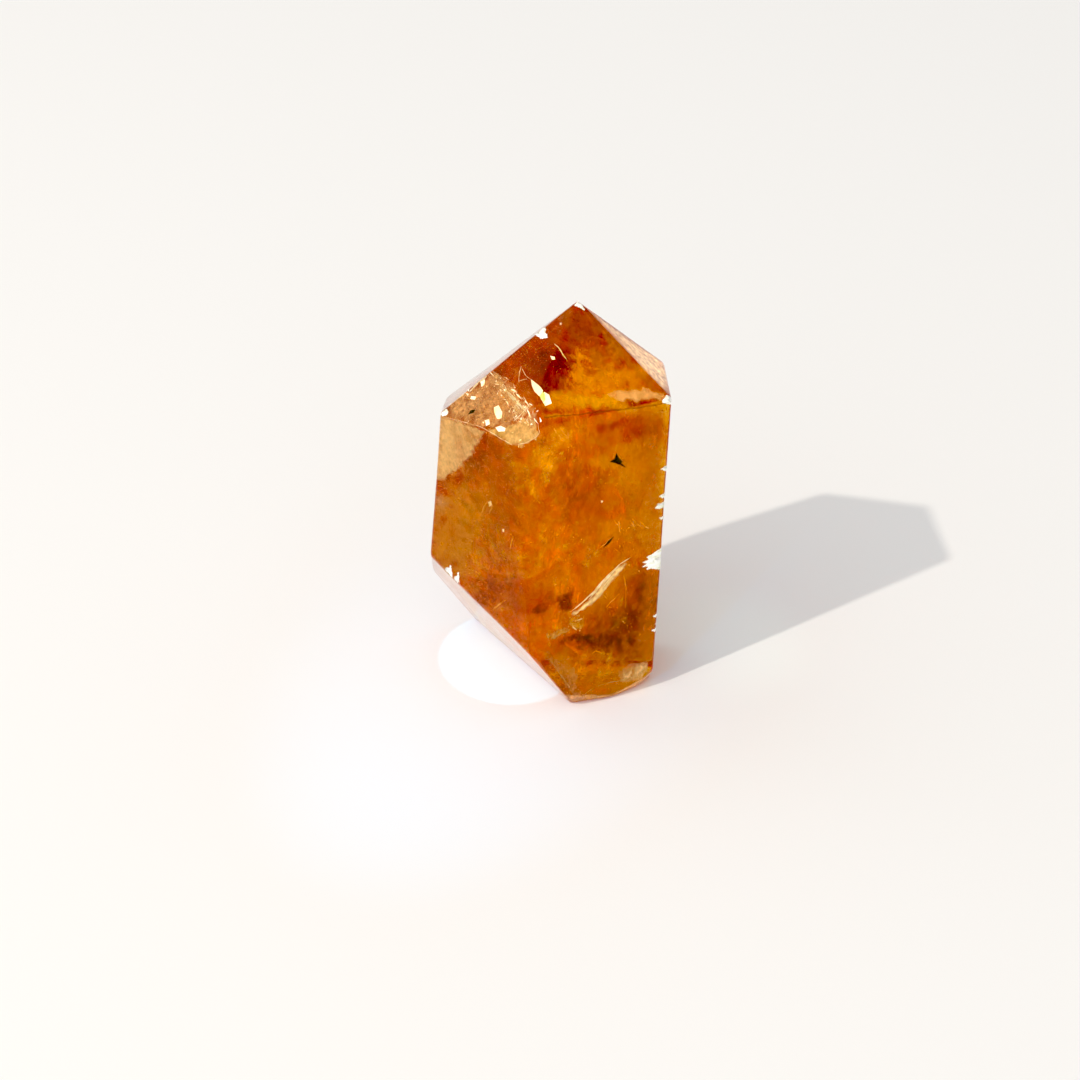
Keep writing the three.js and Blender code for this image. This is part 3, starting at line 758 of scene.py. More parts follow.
def grid_in(poly, step, jag, jag_scale, seed):
    """A square grid filling a ragged polygon: points, quads, distance from the edge, normal."""
    c, n, u, v = plane_axes(poly)
    q = np.array(poly) - c
    p2 = np.stack([q @ u, q @ v], 1)
    lo, hi = p2.min(0) - step, p2.max(0) + step
    xs, ys = np.arange(lo[0], hi[0], step), np.arange(lo[1], hi[1], step)
    X, Y = np.meshgrid(xs, ys, indexing="ij")
    x, y = X.ravel(), Y.ravel()
    p = c + x[:, None] * u + y[:, None] * v
    jx, jy = jag * wave_noise(p, jag_scale, seed, 3), jag * wave_noise(p, jag_scale, seed + 1, 3)
    ok = inside_polygon(p2, x + jx, y + jy)
    dist = edge_distance(p2, x + jx, y + jy)
    ny = len(ys)
    quads = []
    for i in range(len(xs) - 1):
        for j in range(ny - 1):
            f = (i * ny + j, (i + 1) * ny + j, (i + 1) * ny + j + 1, i * ny + j + 1)
            if all(ok[k] for k in f):
                quads.append(f)
    return p, quads, dist, n


def tuck(p, cover=0.12):
    """Moves points that lie too near the surface, or past it, back under it."""
    p = np.array(p, float)
    for _ in range(6):
        d = p @ PN.T - PD + cover
        worst = d.argmax(axis=1)
        over = np.maximum(d[np.arange(len(p)), worst], 0.0)
        p -= PN[worst] * over[:, None]
    return p


class Builder:
    """Gathers closed thin shapes into one mesh, with per-vertex numbers."""

    def __init__(self, inside=True):
        self.v, self.f, self.att, self.inside = [], [], {}, inside

    def add(self, verts, faces, **att):
        verts = tuck(verts) if self.inside else np.asarray(verts)
        base = len(self.v)
        self.v.extend(np.asarray(verts).tolist())
        self.f.extend([tuple(base + k for k in f) for f in faces])
        for k in set(self.att) | set(att):
            self.att.setdefault(k, [0.0] * base)
            val = att.get(k, 0.0)
            self.att[k].extend(np.broadcast_to(val, len(verts)).astype(float).tolist())

    def tone(self, colour, start):
        """Gives the vertices from start on a colour of their own."""
        self.tones = getattr(self, "tones", [])
        self.tones.extend([(1.0, 1.0, 1.0)] * (start - len(self.tones)))
        self.tones.extend([colour] * (len(self.v) - start))

    def shell(self, top, bottom, quads, **att):
        """A closed shell from two matching grids."""
        used = sorted({k for q in quads for k in q})
        if not used:
            return
        new = {k: i for i, k in enumerate(used)}
        n = len(used)
        faces = [tuple(new[k] for k in q) for q in quads] + [tuple(new[k] + n for k in reversed(q)) for q in quads]
        edges = {}
        for q in quads:
            for a, b in zip(q, q[1:] + q[:1]):
                edges[(a, b)] = edges.get((a, b), 0) + 1
        for a, b in edges:
            if (b, a) not in edges:
                faces.append((new[b], new[a], new[a] + n, new[b] + n))
        att = {k: (np.concatenate([np.asarray(v)[used]] * 2) if np.ndim(v) else v) for k, v in att.items()}
        self.add(np.concatenate([top[used], bottom[used]]), faces, **att)

    def plate(self, poly, thick, bend=0.0, **att):
        """A thin closed plate with a ridge: its outline and a raised middle on both sides."""
        c, n, u, v = plane_axes(poly)
        q = np.array(poly)
        m = len(q)
        verts = np.concatenate([q + bend * n, [c + n * thick], [c - n * thick]])
        faces = [(i, (i + 1) % m, m) for i in range(m)] + [((i + 1) % m, i, m + 1) for i in range(m)]
        self.add(verts, faces, **att)

    def ribbon(self, path, width, normal, thick=0.04, wobble=0.0, seed=0, blunt=0.5, **att):
        """A closed blade along a path, widest in the middle."""
        q = np.array(path, float)
        seg = np.linalg.norm(np.diff(q, axis=0), axis=1)
        s = np.concatenate([[0], np.cumsum(seg)])
        m = max(4, int(s[-1] / max(0.18, width * 0.8)))
        m = min(m, 60)
        t = np.linspace(0, s[-1], m + 1)
        p = np.stack([np.interp(t, s, q[:, k]) for k in range(3)], 1)
        if wobble:
            p = p + wobble * np.stack([wave_noise(p, 2.0, seed + k, 2) for k in range(3)], 1)
        w = width * (np.sin(np.pi * (0.03 + 0.94 * t / s[-1])) ** blunt)
        if wobble:
            w = w * (1.0 + 0.4 * wave_noise(p, 1.2, seed + 7, 2))
        tan = np.gradient(p, axis=0)
        side = np.cross(tan, normal)
        side /= np.maximum(np.linalg.norm(side, axis=1), 1e-9)[:, None]
        a, b = p + side * (w / 2)[:, None], p - side * (w / 2)[:, None]
        th = thick * w[:, None] / max(width, 1e-9)
        verts = np.concatenate([a, p + normal * th, b, p - normal * th])
        k = m + 1
        faces = []
        for i in range(m):
            for r0, r1 in ((0, 1), (1, 2), (2, 3), (3, 0)):
                faces.append((r0 * k + i, r0 * k + i + 1, r1 * k + i + 1, r1 * k + i))
        faces.append((0, k, 2 * k, 3 * k))
        faces.append((3 * k + m, 2 * k + m, k + m, m))
        self.add(verts, faces, **att)

    def object(self, name, smooth=False):
        ob = mesh_object(name, self.v, self.f)
        bm = bmesh.new()
        bm.from_mesh(ob.data)
        bmesh.ops.recalc_face_normals(bm, faces=bm.faces)
        bm.to_mesh(ob.data)
        bm.free()
        for k, v in self.att.items():
            add_attribute(ob.data, k, v)
        if getattr(self, "tones", None):
            at = ob.data.attributes.new("tone", "FLOAT_COLOR", "POINT")
            at.data.foreach_set("color", np.array([(*c, 1.0) for c in self.tones], np.float32).ravel())
        if smooth:
            ob.data.polygons.foreach_set("use_smooth", [True] * len(ob.data.polygons))
        return ob


def to_surface(p, level=0.0, steps=4):
    p = p.copy()
    for _ in range(steps):
        f = stone_field(p) - level
        g = gradient(p)
        p -= g * np.clip(f / np.maximum((g * g).sum(axis=1), 0.2), -0.5, 0.5)[:, None]
    return p


# ------------------------------------------------------------------ chipped skin on the arrises
skin = Builder(inside=False)
for i, (key_name, poly) in enumerate(SKIN.items()):
    p, quads, dist, n = grid_in(poly, 0.11, 0.09, 0.8, 300 + i)
    used = sorted({k for q in quads for k in q})
    top, low = p.copy(), p.copy()
    base = to_surface(p[used])
    g = gradient(base)
    g /= np.linalg.norm(g, axis=1)[:, None]
    rough = 0.018 * wave_noise(base, 0.5, 340 + i, 2)
    top[used] = base + g * (0.045 + rough)[:, None]
    low[used] = base + g * 0.010
    skin.shell(top, low, quads)
# the chipped skin glows a little (glow 0.16): painted light that brightens the white chips
piece(skin.object("chipped_skin", smooth=True), frost_material("chipped_skin", ((0.30, (0.50, 0.47, 0.30)), (0.42, (0.86, 0.86, 0.70)), (0.58, (1.0, 1.0, 0.97))), glow=0.16, size=0.55, stretch=(0.35, 0.35, 1.0), turn=(0, 0.35, 0.4)))


# ------------------------------------------------------------------ cracks painted bright: emission glints standing in for sunlight caught in them
def glint_material():
    m, nt, out = new_material("crack_glint")
    p = nt.nodes.new("ShaderNodeBsdfPrincipled")
    n = noise(nt, 0.8, 3.0, 0.6)
    c = ramp(nt, n.outputs["Fac"], [(0.32, (0.70, 0.78, 0.50)), (0.44, (1.0, 0.99, 0.90)), (0.62, (1.0, 1.0, 0.98))])
    at = nt.nodes.new("ShaderNodeAttribute")
    at.attribute_name = "tone"
    vm = nt.nodes.new("ShaderNodeVectorMath")
    vm.operation = "MULTIPLY"
    nt.links.new(at.outputs["Color"], vm.inputs[0])
    nt.links.new(c.outputs["Color"], vm.inputs[1])
    nt.links.new(vm.outputs["Vector"], p.inputs["Base Color"])
    nt.links.new(vm.outputs["Vector"], p.inputs["Emission Color"])
    # emission: painted highlight, the cracks shine white whatever the light
    p.inputs["Emission Strength"].default_value = 0.9
    r = scaled(nt, n.outputs["Fac"], 0.3, 0.7, 0.05, 0.3)
    nt.links.new(r.outputs["Result"], p.inputs["Roughness"])
    nt.links.new(p.outputs["BSDF"], out.inputs["Surface"])
    return m


glints = Builder()
for k, poly in GLINTS.items():
    start = len(glints.v)
    glints.plate(poly, 0.05)
    glints.tone((0.62, 0.80, 0.30) if k == "wedge_c" else (1.0, 1.0, 0.97), start)


def spots_in(poly, count, seed, step=0.4):
    """Seeded points scattered inside a flat outline, with the outline's axes."""
    r = rng(seed)
    p, _, _, _ = grid_in(poly, step, 0.0, 1.0, 1)
    c, n, u, v = plane_axes(poly)
    q = np.array(poly) - c
    ins = p[inside_polygon(np.stack([q @ u, q @ v], 1), (p - c) @ u, (p - c) @ v)]
    ins = ins[r.permutation(len(ins))[:count]]
    return ins + r.uniform(-step / 2, step / 2, (len(ins), 1)) * u + r.uniform(-step / 2, step / 2, (len(ins), 1)) * v, n, u, v


def shards(builder, poly, count, seed, sizes, colour, along=None, slim_range=(0.16, 0.65)):
    """Small angular splinters of crack, painted bright as glints, lying about in the plane of the outline."""
    r = rng(seed + 5)
    at, n, u, v = spots_in(poly, count, seed)
    if along is not None:
        u = along - n * (along @ n)
        u /= np.linalg.norm(u)
        v = np.cross(n, u)
    start = len(builder.v)
    for c in at:
        c = c + n * r.uniform(-0.4, 0.3)
        turn, size, slim = r.normal(0.0, 0.35 if along is not None else 2.0), r.uniform(*sizes) * r.uniform(0.4, 1.0), r.uniform(*slim_range)
        m = r.integers(3, 6)
        ring = []
        for k in range(m):
            a = k * 2 * math.pi / m + r.uniform(-0.45, 0.45)
            x, y = math.cos(a) * size, math.sin(a) * size * slim
            ring.append(c + u * (x * math.cos(turn) - y * math.sin(turn)) + v * (x * math.sin(turn) + y * math.cos(turn)))
        builder.plate(ring, 0.03)
    builder.tone(colour, start)


DOWN = np.array(PALE["shoulder_band"][4]) - np.array(PALE["shoulder_band"][0])
shards(glints, PALE["shoulder"], 40, 777, (0.07, 0.20), (1.0, 0.95, 0.84))
shards(glints, PALE["shoulder_band"], 36, 778, (0.3, 1.05), (1.0, 0.97, 0.86), along=DOWN, slim_range=(0.06, 0.20))
shards(glints, PALE["shoulder_band"], 22, 783, (0.12, 0.40), (1.0, 0.98, 0.90), slim_range=(0.3, 0.7))
shards(glints, PALE["front_corner"], 22, 779, (0.08, 0.28), (0.95, 0.86, 0.60))
shards(glints, PALE["cluster"], 26, 780, (0.08, 0.26), (0.75, 0.62, 0.28))
shards(glints, PALE["low_wedge"], 12, 781, (0.06, 0.18), (0.75, 0.52, 0.30))
shards(glints, PALE["low_edge"], 26, 782, (0.06, 0.20), (0.80, 0.50, 0.34))
piece(glints.object("crack_glints"), glint_material())


# ------------------------------------------------------------------ pale veils close under the faces
def pale_material():
    """Milky or stained quartz just under the surface, glowing with painted light (emission 0.5). Attribute haze is its
    thickness, tone its colour, grain how uneven.
    """
    m, nt, out = new_material("pale_veil")
    n = noise(nt, 2.6, 4.0, 0.6, stretch=(1, 1, 0.6), turn=(0.2, 0.5, 0.3))
    n2 = noise(nt, 0.70, 4.0, 0.62, stretch=(1, 1, 0.6), turn=(0.5, 0.35, 0.0))
    w = scaled(nt, n.outputs["Fac"], 0.32, 0.62, 0.58, 1.14)

    def uneven(lo, hi):
        raw = scaled(nt, n2.outputs["Fac"], 0.32, 0.66, lo - 1.0, hi - 1.0)
        ma = nt.nodes.new("ShaderNodeMath")
        ma.operation = "MULTIPLY_ADD"
        nt.links.new(raw.outputs["Result"], ma.inputs[0])
        nt.links.new(attribute(nt, "grain"), ma.inputs[1])
        ma.inputs[2].default_value = 1.0
        return ma.outputs[0]

    fac = times(nt, times(nt, w.outputs["Result"], uneven(0.15, 1.75), False), attribute(nt, "haze"))
    at = nt.nodes.new("ShaderNodeAttribute")
    at.attribute_name = "tone"
    vm = nt.nodes.new("ShaderNodeVectorMath")
    vm.operation = "SCALE"
    nt.links.new(at.outputs["Color"], vm.inputs[0])
    nt.links.new(uneven(0.62, 1.35), vm.inputs["Scale"])
    p = nt.nodes.new("ShaderNodeBsdfPrincipled")
    nt.links.new(vm.outputs["Vector"], p.inputs["Base Color"])
    nt.links.new(vm.outputs["Vector"], p.inputs["Emission Color"])
    # painted light: the veil glows without any lamp
    p.inputs["Emission Strength"].default_value = 0.50
    p.inputs["Roughness"].default_value = 0.5
    tr = nt.nodes.new("ShaderNodeBsdfTransparent")
    mx = nt.nodes.new("ShaderNodeMixShader")
    nt.links.new(fac, mx.inputs["Fac"])
    nt.links.new(tr.outputs["BSDF"], mx.inputs[1])
    nt.links.new(p.outputs["BSDF"], mx.inputs[2])
    nt.links.new(mx.outputs["Shader"], out.inputs["Surface"])
    return m


# thickness, softness of the edge (mm), raggedness (mm), colour, grain
PALE_LOOK = {
    "shoulder": (0.50, 1.3, 0.45, (0.58, 0.34, 0.18), 0.6), "left_side": (0.80, 0.8, 0.25, (0.60, 0.40, 0.21), 0.25),
    "left_band": (0.42, 1.2, 0.3, (0.52, 0.30, 0.13), 0.3), "front_corner": (0.68, 0.6, 0.25, (0.70, 0.48, 0.21), 0.40),
    "right_band": (0.70, 1.1, 0.30, (0.80, 0.48, 0.19), 0.12), "mid_band": (0.30, 0.8, 0.3, (0.72, 0.40, 0.10), 0.2),
    "low_wedge": (0.62, 0.5, 0.25, (0.50, 0.32, 0.13), 0.5), "foot_left": (0.42, 1.3, 0.4, (0.50, 0.28, 0.10), 0.5),
    "foot_right": (0.55, 1.4, 0.35, (0.58, 0.40, 0.22), 0.8), "right_sliver": (0.52, 2.4, 0.15, (1.0, 0.80, 0.52), 0.6),
    "fracture_band": (0.90, 0.80, 0.16, (0.80, 0.66, 0.37), 0.35), "fracture_face": (0.34, 1.4, 0.3, (0.55, 0.27, 0.03), 0.5),
    "cluster": (0.50, 0.8, 0.45, (0.55, 0.34, 0.08), 0.9), "low_edge": (0.45, 0.8, 0.2, (0.38, 0.15, 0.04), 0.9), "arris_line": (0.42, 0.16, 0.02, (0.24, 0.07, 0.004), 0.9),
    "right_strip": (0.62, 3.0, 0.3, (0.46, 0.12, 0.004), 0.5), "arris_glow": (0.45, 1.0, 0.2, (0.45, 0.17, 0.02), 0.5),
    "shoulder_band": (0.26, 1.2, 0.45, (0.66, 0.46, 0.22), 0.9),
}
DEEP, BROWN, RED = (0.58, 0.30, 0.2), (0.82, 0.60, 0.3), (0.94, 0.68, 0.4)  # what each of a film's two faces lets through
GOLD = (0.64, 0.26, 0.012)
ZONE_LOOK = {  # film or haze (the haze glows with painted light), strength, colour, grain
    "left_gold": (0, 0.42, (0.50, 0.21, 0.006), 0.2), "left_gold_2": (0, 0.24, GOLD, 0.3), "left_brown": (1, 0.9, BROWN, 0.9),
    "spot_1": (1, 0.9, DEEP, 0.7), "spot_2": (1, 0.65, DEEP, 0.8), "spot_3": (1, 0.6, BROWN, 0.9),
    "low_band": (1, 0.75, (0.62, 0.32, 0.2), 0.9), "low_band_2": (1, 0.6, DEEP, 0.9), "right_dark_1": (1, 0.7, (0.66, 0.42, 0.3), 0.8),
    "right_dark_2": (1, 0.8, DEEP, 0.8), "right_dark_3": (1, 0.7, BROWN, 0.9), "low_right": (1, 0.6, BROWN, 0.9),
    "red_corner": (1, 1.0, (0.97, 0.54, 0.4), 0.8), "red_corner_2": (1, 0.9, (0.96, 0.62, 0.4), 0.6),
    "glow_1": (0, 0.45, (0.88, 0.46, 0.03), 0.3), "glow_2": (0, 0.40, (0.80, 0.40, 0.03), 0.5), "glow_3": (0, 0.30, (0.66, 0.30, 0.01), 0.6),
    "red_column": (1, 0.6, (0.99, 0.86, 0.6), 0.4), "left_tone": (1, 0.9, (0.94, 0.93, 0.8), 0.3), "centre_glow": (0, 0.22, (0.80, 0.22, 0.006), 0.5), "gold_right": (0, 0.35, GOLD, 0.5), "gold_low": (0, 0.30, GOLD, 0.4), "apex_brown": (1, 0.2, BROWN, 0.7),
    "top_gold": (0, 0.44, (0.78, 0.37, 0.012), 0.2), "top_gold_2": (0, 0.42, (0.72, 0.34, 0.012), 0.2),
    "top_brown": (1, 0.3, BROWN, 0.7), "corner_brown": (1, 0.6, BROWN, 0.6), "arris_gold": (0, 0.70, (0.70, 0.34, 0.02), 0.15), "apex_glow": (0, 0.40, (0.36, 0.095, 0.003), 0.6), "apex_glow_2": (0, 0.32, (0.50, 0.20, 0.006), 0.6),
    "low_red": (1, 0.9, (0.94, 0.76, 0.5), 0.6), "right_red": (1, 0.9, (0.94, 0.70, 0.5), 0.6),
}


def film_material():
    """A zone of deeper colour, as a clear film that darkens what lies behind it. Attribute haze is its strength."""
    m, nt, out = new_material("colour_zone")
    n = noise(nt, 1.1, 5.0, 0.66, stretch=(1, 1, 0.7), turn=(0.2, 0.6, 0.3))
    raw = scaled(nt, n.outputs["Fac"], 0.34, 0.64, -0.95, 0.5)
    ma = nt.nodes.new("ShaderNodeMath")
    ma.operation = "MULTIPLY_ADD"
    nt.links.new(raw.outputs["Result"], ma.inputs[0])
    nt.links.new(attribute(nt, "grain"), ma.inputs[1])
    ma.inputs[2].default_value = 1.0
    fac = times(nt, ma.outputs[0], attribute(nt, "haze"))
    at = nt.nodes.new("ShaderNodeAttribute")
    at.attribute_name = "tone"
    tr = nt.nodes.new("ShaderNodeBsdfTransparent")
    nt.links.new(mixed_colour(nt, fac, (1.0, 1.0, 1.0), at.outputs["Color"]), tr.inputs["Color"])
    p = nt.nodes.new("ShaderNodeBsdfPrincipled")
    p.inputs["Base Color"].default_value = (0.24, 0.05, 0.0, 1)
    p.inputs["Roughness"].default_value = 0.6
    thin = scaled(nt, fac, 0.0, 1.0, 0.0, 0.12)
    mx = nt.nodes.new("ShaderNodeMixShader")
    nt.links.new(thin.outputs["Result"], mx.inputs["Fac"])
    nt.links.new(tr.outputs["BSDF"], mx.inputs[1])
    nt.links.new(p.outputs["BSDF"], mx.inputs[2])
    nt.links.new(mx.outputs["Shader"], out.inputs["Surface"])
    return m


def facet_outline(name, depth, inset):
    """The outline of one facet, moved inwards by depth and shrunk by inset."""
    i = list(FACETS).index(name)
    n = PN[i]
    c = n * (PD[i] - depth)
    u = np.cross(n, [0.3, 0.5, 0.81])
    u /= np.linalg.norm(u)
    v = np.cross(n, u)
    ring = [c + 90 * (a * u + b * v) for a, b in ((-1, -1), (1, -1), (1, 1), (-1, 1))]
    for j in range(len(PN)):
        if j == i:
            continue
        nxt = []
        for a, b in zip(ring, ring[1:] + ring[:1]):
            da, db = a @ PN[j] - PD[j] + inset, b @ PN[j] - PD[j] + inset
            if da <= 0:
                nxt.append(a)
            if (da < 0 < db) or (db < 0 < da):
                nxt.append(a + (b - a) * (da / (da - db)))
        ring = nxt
    return ring


# the near-white haze under FLL, T4 and T6 is painted reflection: the pale shine of those facets at a glancing view; B1
# to B3 get golden haze
FACET_HAZE_AND_REFLECTION = {  # depth, thickness, softness, colour, grain
    "FLL": (0.5, 0.16, 2.5, (0.95, 0.86, 0.70), 0.7), "T4": (0.6, 0.08, 2.5, (0.95, 0.84, 0.66), 0.9),
    "T6": (0.6, 0.10, 2.5, (0.95, 0.84, 0.66), 0.9), "B1": (0.3, 0.55, 0.5, (0.66, 0.34, 0.10), 0.5),
    "B2": (0.3, 0.60, 0.5, (0.74, 0.42, 0.15), 0.4), "B3": (0.3, 0.60, 0.5, (0.74, 0.46, 0.20), 0.3),
}
pale = Builder()


def milky(name, poly, step, jag, thick, soft, colour, grain, seed):
    p, quads, dist, n = grid_in(poly, step, jag, 1.3, seed)
    d = 0.10 * wave_noise(p, 4.0, seed + 60, 2)
    start = len(pale.v)
    x = np.clip(dist / soft, 0, 1)
    pale.shell(p + n * d[:, None], p + n * (d - 0.05)[:, None], quads, haze=x * x * (3 - 2 * x) * thick, grain=grain)
    pale.tone(colour, start)


for i, (k, poly) in enumerate(PALE.items()):
    thick, soft, jag, colour, grain = PALE_LOOK[k]
    milky(k, poly, {"right_strip": 0.3, "arris_line": 0.1}.get(k, 0.2), jag, thick, soft, colour, grain, 400 + 3 * i)
for i, (k, (depth, thick, soft, colour, grain)) in enumerate(FACET_HAZE_AND_REFLECTION.items()):
    milky(k, facet_outline(k, depth, depth * 0.8), 0.3, 0.0, thick, soft, colour, grain, 900 + 3 * i)
films, zones = Builder(), Builder()
for i, (k, (c, a, b)) in enumerate(DARK_AND_GLOW_ZONES.items()):
    film, thick, colour, grain = ZONE_LOOK[k]
    into = films if film else zones
    c, a, b = np.array(c), np.array(a), np.array(b)
    n = np.cross(a, b)
    n /= np.linalg.norm(n)
    m = int(np.clip(max(np.linalg.norm(a), np.linalg.norm(b)) / 0.28, 8, 28))
    s_, t_ = np.meshgrid(np.linspace(-1, 1, 2 * m + 1), np.linspace(-1, 1, 2 * m + 1), indexing="ij")
    s_, t_ = s_.ravel(), t_.ravel()
    p = c + s_[:, None] * a + t_[:, None] * b
    r_ = np.hypot(s_, t_) + 0.26 * wave_noise(p, 3.0, 700 + 3 * i, 3)
    x = np.clip(1.35 * (1 - r_), 0, 1)
    ok = np.hypot(s_, t_) < 1.12
    k_ = 2 * m + 1
    quads = [q for q in ((i_ * k_ + j_, (i_ + 1) * k_ + j_, (i_ + 1) * k_ + j_ + 1, i_ * k_ + j_ + 1) for i_ in range(2 * m) for j_ in range(2 * m)) if ok[list(q)].all()]
    start = len(into.v)
    into.shell(p + n * 0.02, p - n * 0.02, quads, haze=x * x * (3 - 2 * x) * thick, grain=grain)
    into.tone(colour, start)
milk = pale_material()
piece(pale.object("pale_veils", smooth=True), milk)
# the golden zones share the glowing pale material: painted light
piece(zones.object("golden_zones", smooth=True), milk)
piece(films.object("colour_zones", smooth=True), film_material())


# ------------------------------------------------------------------ the long fracture, streaks and needles, glowing with painted light
def wisp_material(name="gold_wisps", lo=(0.70, 0.34, 0.04), hi=(0.95, 0.66, 0.24), glow=0.5):
    m, nt, out = new_material(name)
    p = nt.nodes.new("ShaderNodeBsdfPrincipled")
    n = noise(nt, 0.7, 3.0, 0.6)
    c = ramp(nt, n.outputs["Fac"], [(0.34, lo), (0.64, hi)])
    b = mixed_colour(nt, attribute(nt, "bright"), tuple(x * 0.5 for x in lo), c.outputs["Color"])
    nt.links.new(b, p.inputs["Base Color"])
    nt.links.new(b, p.inputs["Emission Color"])
    # emission: painted light, these marks glow without a lamp
    p.inputs["Emission Strength"].default_value = glow
    r = scaled(nt, n.outputs["Fac"], 0.3, 0.7, 0.2, 0.5)
    nt.links.new(r.outputs["Result"], p.inputs["Roughness"])
    nt.links.new(p.outputs["BSDF"], out.inputs["Surface"])
    return m


FRONT = PLANES["P1"][0]
LEFT = PLANES["P5"][0]
TOP = PLANES["T1"][0]
SHOULDER = PLANES["T5"][0]
CRACK_LOOK = {  # width (mm), brightness, normal
    "streak": (0.26, 0.9, TOP), "arris_a": (0.11, 0.8, SHOULDER), "arris_b": (0.11, 0.6, SHOULDER),
    "crack_a": (0.10, 0.9, SHOULDER), "crack_b": (0.09, 0.9, SHOULDER), "crack_c": (0.08, 0.8, SHOULDER),
    "crack_d": (0.34, 0.7, SHOULDER), "crack_e": (0.22, 0.55, SHOULDER), "crack_f": (0.26, 0.8, SHOULDER),
    "crack_g": (0.22, 0.8, SHOULDER), "crack_h": (0.20, 0.8, SHOULDER),
    "low_edge_a": (0.10, 0.0, FRONT), "foot_top": (0.14, 0.12, FRONT),
}
cracks = Builder()
for i, (k, path) in enumerate(CRACKS.items()):
    width, bright, nrm = CRACK_LOOK[k]
    cracks.ribbon(path, width, nrm, wobble=0.05, seed=500 + 9 * i, bright=bright)
# the fracture's bright slivers are painted highlights
for i, (a_, b_, width) in enumerate(SLIVERS):
    a_, b_ = np.array(a_), np.array(b_)
    along = (b_ - a_) / np.linalg.norm(b_ - a_)
    side = np.cross(along, FRONT)
    mid = a_ + (b_ - a_) * (0.4 + 0.05 * (i % 5))
    cracks.plate([a_, mid + side * width * 0.55, b_, mid - side * width * 0.45 + along * 0.3], 0.03, bright=0.50 + 0.10 * (i % 4))
# bright streaks along the shoulder: painted glints
r = rng(801)
at, n_, u_, v_ = spots_in(PALE["shoulder_band"], 40, 802)
u_ = DOWN - n_ * (DOWN @ n_)
u_ /= np.linalg.norm(u_)
v_ = np.cross(n_, u_)
for c in at:
    turn_ = r.normal(0.0, 0.5) + (0 if r.uniform() < 0.7 else 1.5)
    t = u_ * math.cos(turn_) + v_ * math.sin(turn_)
    long = r.uniform(0.3, 1.4)
    cracks.ribbon([c - t * long / 2, c + t * long / 2], r.uniform(0.04, 0.10), SHOULDER, thick=0.02, bright=r.uniform(0.5, 1.0))
piece(cracks.object("long_cracks"), wisp_material("long_cracks", (0.62, 0.46, 0.18), (1.0, 0.95, 0.78), 0.65))

specks = Builder()
for k, poly in SPECKS.items():
    specks.plate(poly, 0.30 if k == "speck" else 0.06)
sm, nt, out = new_material("dark_mineral")
p = nt.nodes.new("ShaderNodeBsdfPrincipled")
p.inputs["Specular IOR Level"].default_value = 0.05
n = noise(nt, 0.4, 3.0, 0.6)
c = ramp(nt, n.outputs["Fac"], [(0.35, (0.001, 0.001, 0.001)), (0.7, (0.010, 0.005, 0.002))])
nt.links.new(c.outputs["Color"], p.inputs["Base Color"])
r = scaled(nt, n.outputs["Fac"], 0.3, 0.7, 0.25, 0.6)
nt.links.new(r.outputs["Result"], p.inputs["Roughness"])
nt.links.new(p.outputs["BSDF"], out.inputs["Surface"])
piece(specks.object("dark_specks"), sm)


# ------------------------------------------------------------------ scattered wisps and sparkles, all round
def scatter(count, density, seed, deep=(0.7, 30.0)):
    """Points inside the stone at a depth range, thicker where density(p) is high (0..1)."""
    r = rng(seed)
    found, total = [], 0
    while total < count:
        p = r.uniform(LOW, HIGH, (60000, 3))
        f = -facets_field(p)
        p = p[(f > deep[0]) & (f < deep[1])]
        p = p[r.uniform(0, 1, len(p)) < density(p)]
        found.append(p)
        total += len(p)
    return np.concatenate(found)[:count]


def clumps(p):
    return np.clip(0.10 + 0.9 * wave_noise(p, 9.0, 83, 2) + 0.5 * wave_noise(p, 3.5, 84, 2), 0.0, 1.0) ** 1.5


wisps = Builder()
for i, (k, path) in enumerate(WISPS.items()):
    wisps.ribbon(path, 0.15 if len(k) > 1 else 0.19, LEFT if path[0][0] < -4 else FRONT, wobble=0.07, seed=600 + 9 * i, thick=0.02, bright=0.9)
r = rng(85)
for i, c in enumerate(scatter(420, clumps, 86, (0.8, 4.5))):
    nrm = PN[(c @ PN.T - PD).argmax()]
    lean = r.normal(0.35, 0.5)
    up = np.array([0, 0, 1.0]) - nrm * nrm[2]
    up /= max(np.linalg.norm(up), 1e-6)
    across = np.cross(nrm, up)
    t = up * math.cos(lean) + across * math.sin(lean) + nrm * r.normal(0, 0.25)
    long = r.gamma(2.0, 0.30) + 0.20
    bow = across * r.normal(0, 0.05) * long
    path = [c - t * long / 2, c + bow * 0.5, c + t * long / 2]
    wisps.ribbon(path, r.uniform(0.04, 0.09), nrm, thick=0.02, bright=r.uniform(0.1, 0.9) ** 1.5)
piece(wisps.object("gold_wisps"), wisp_material())


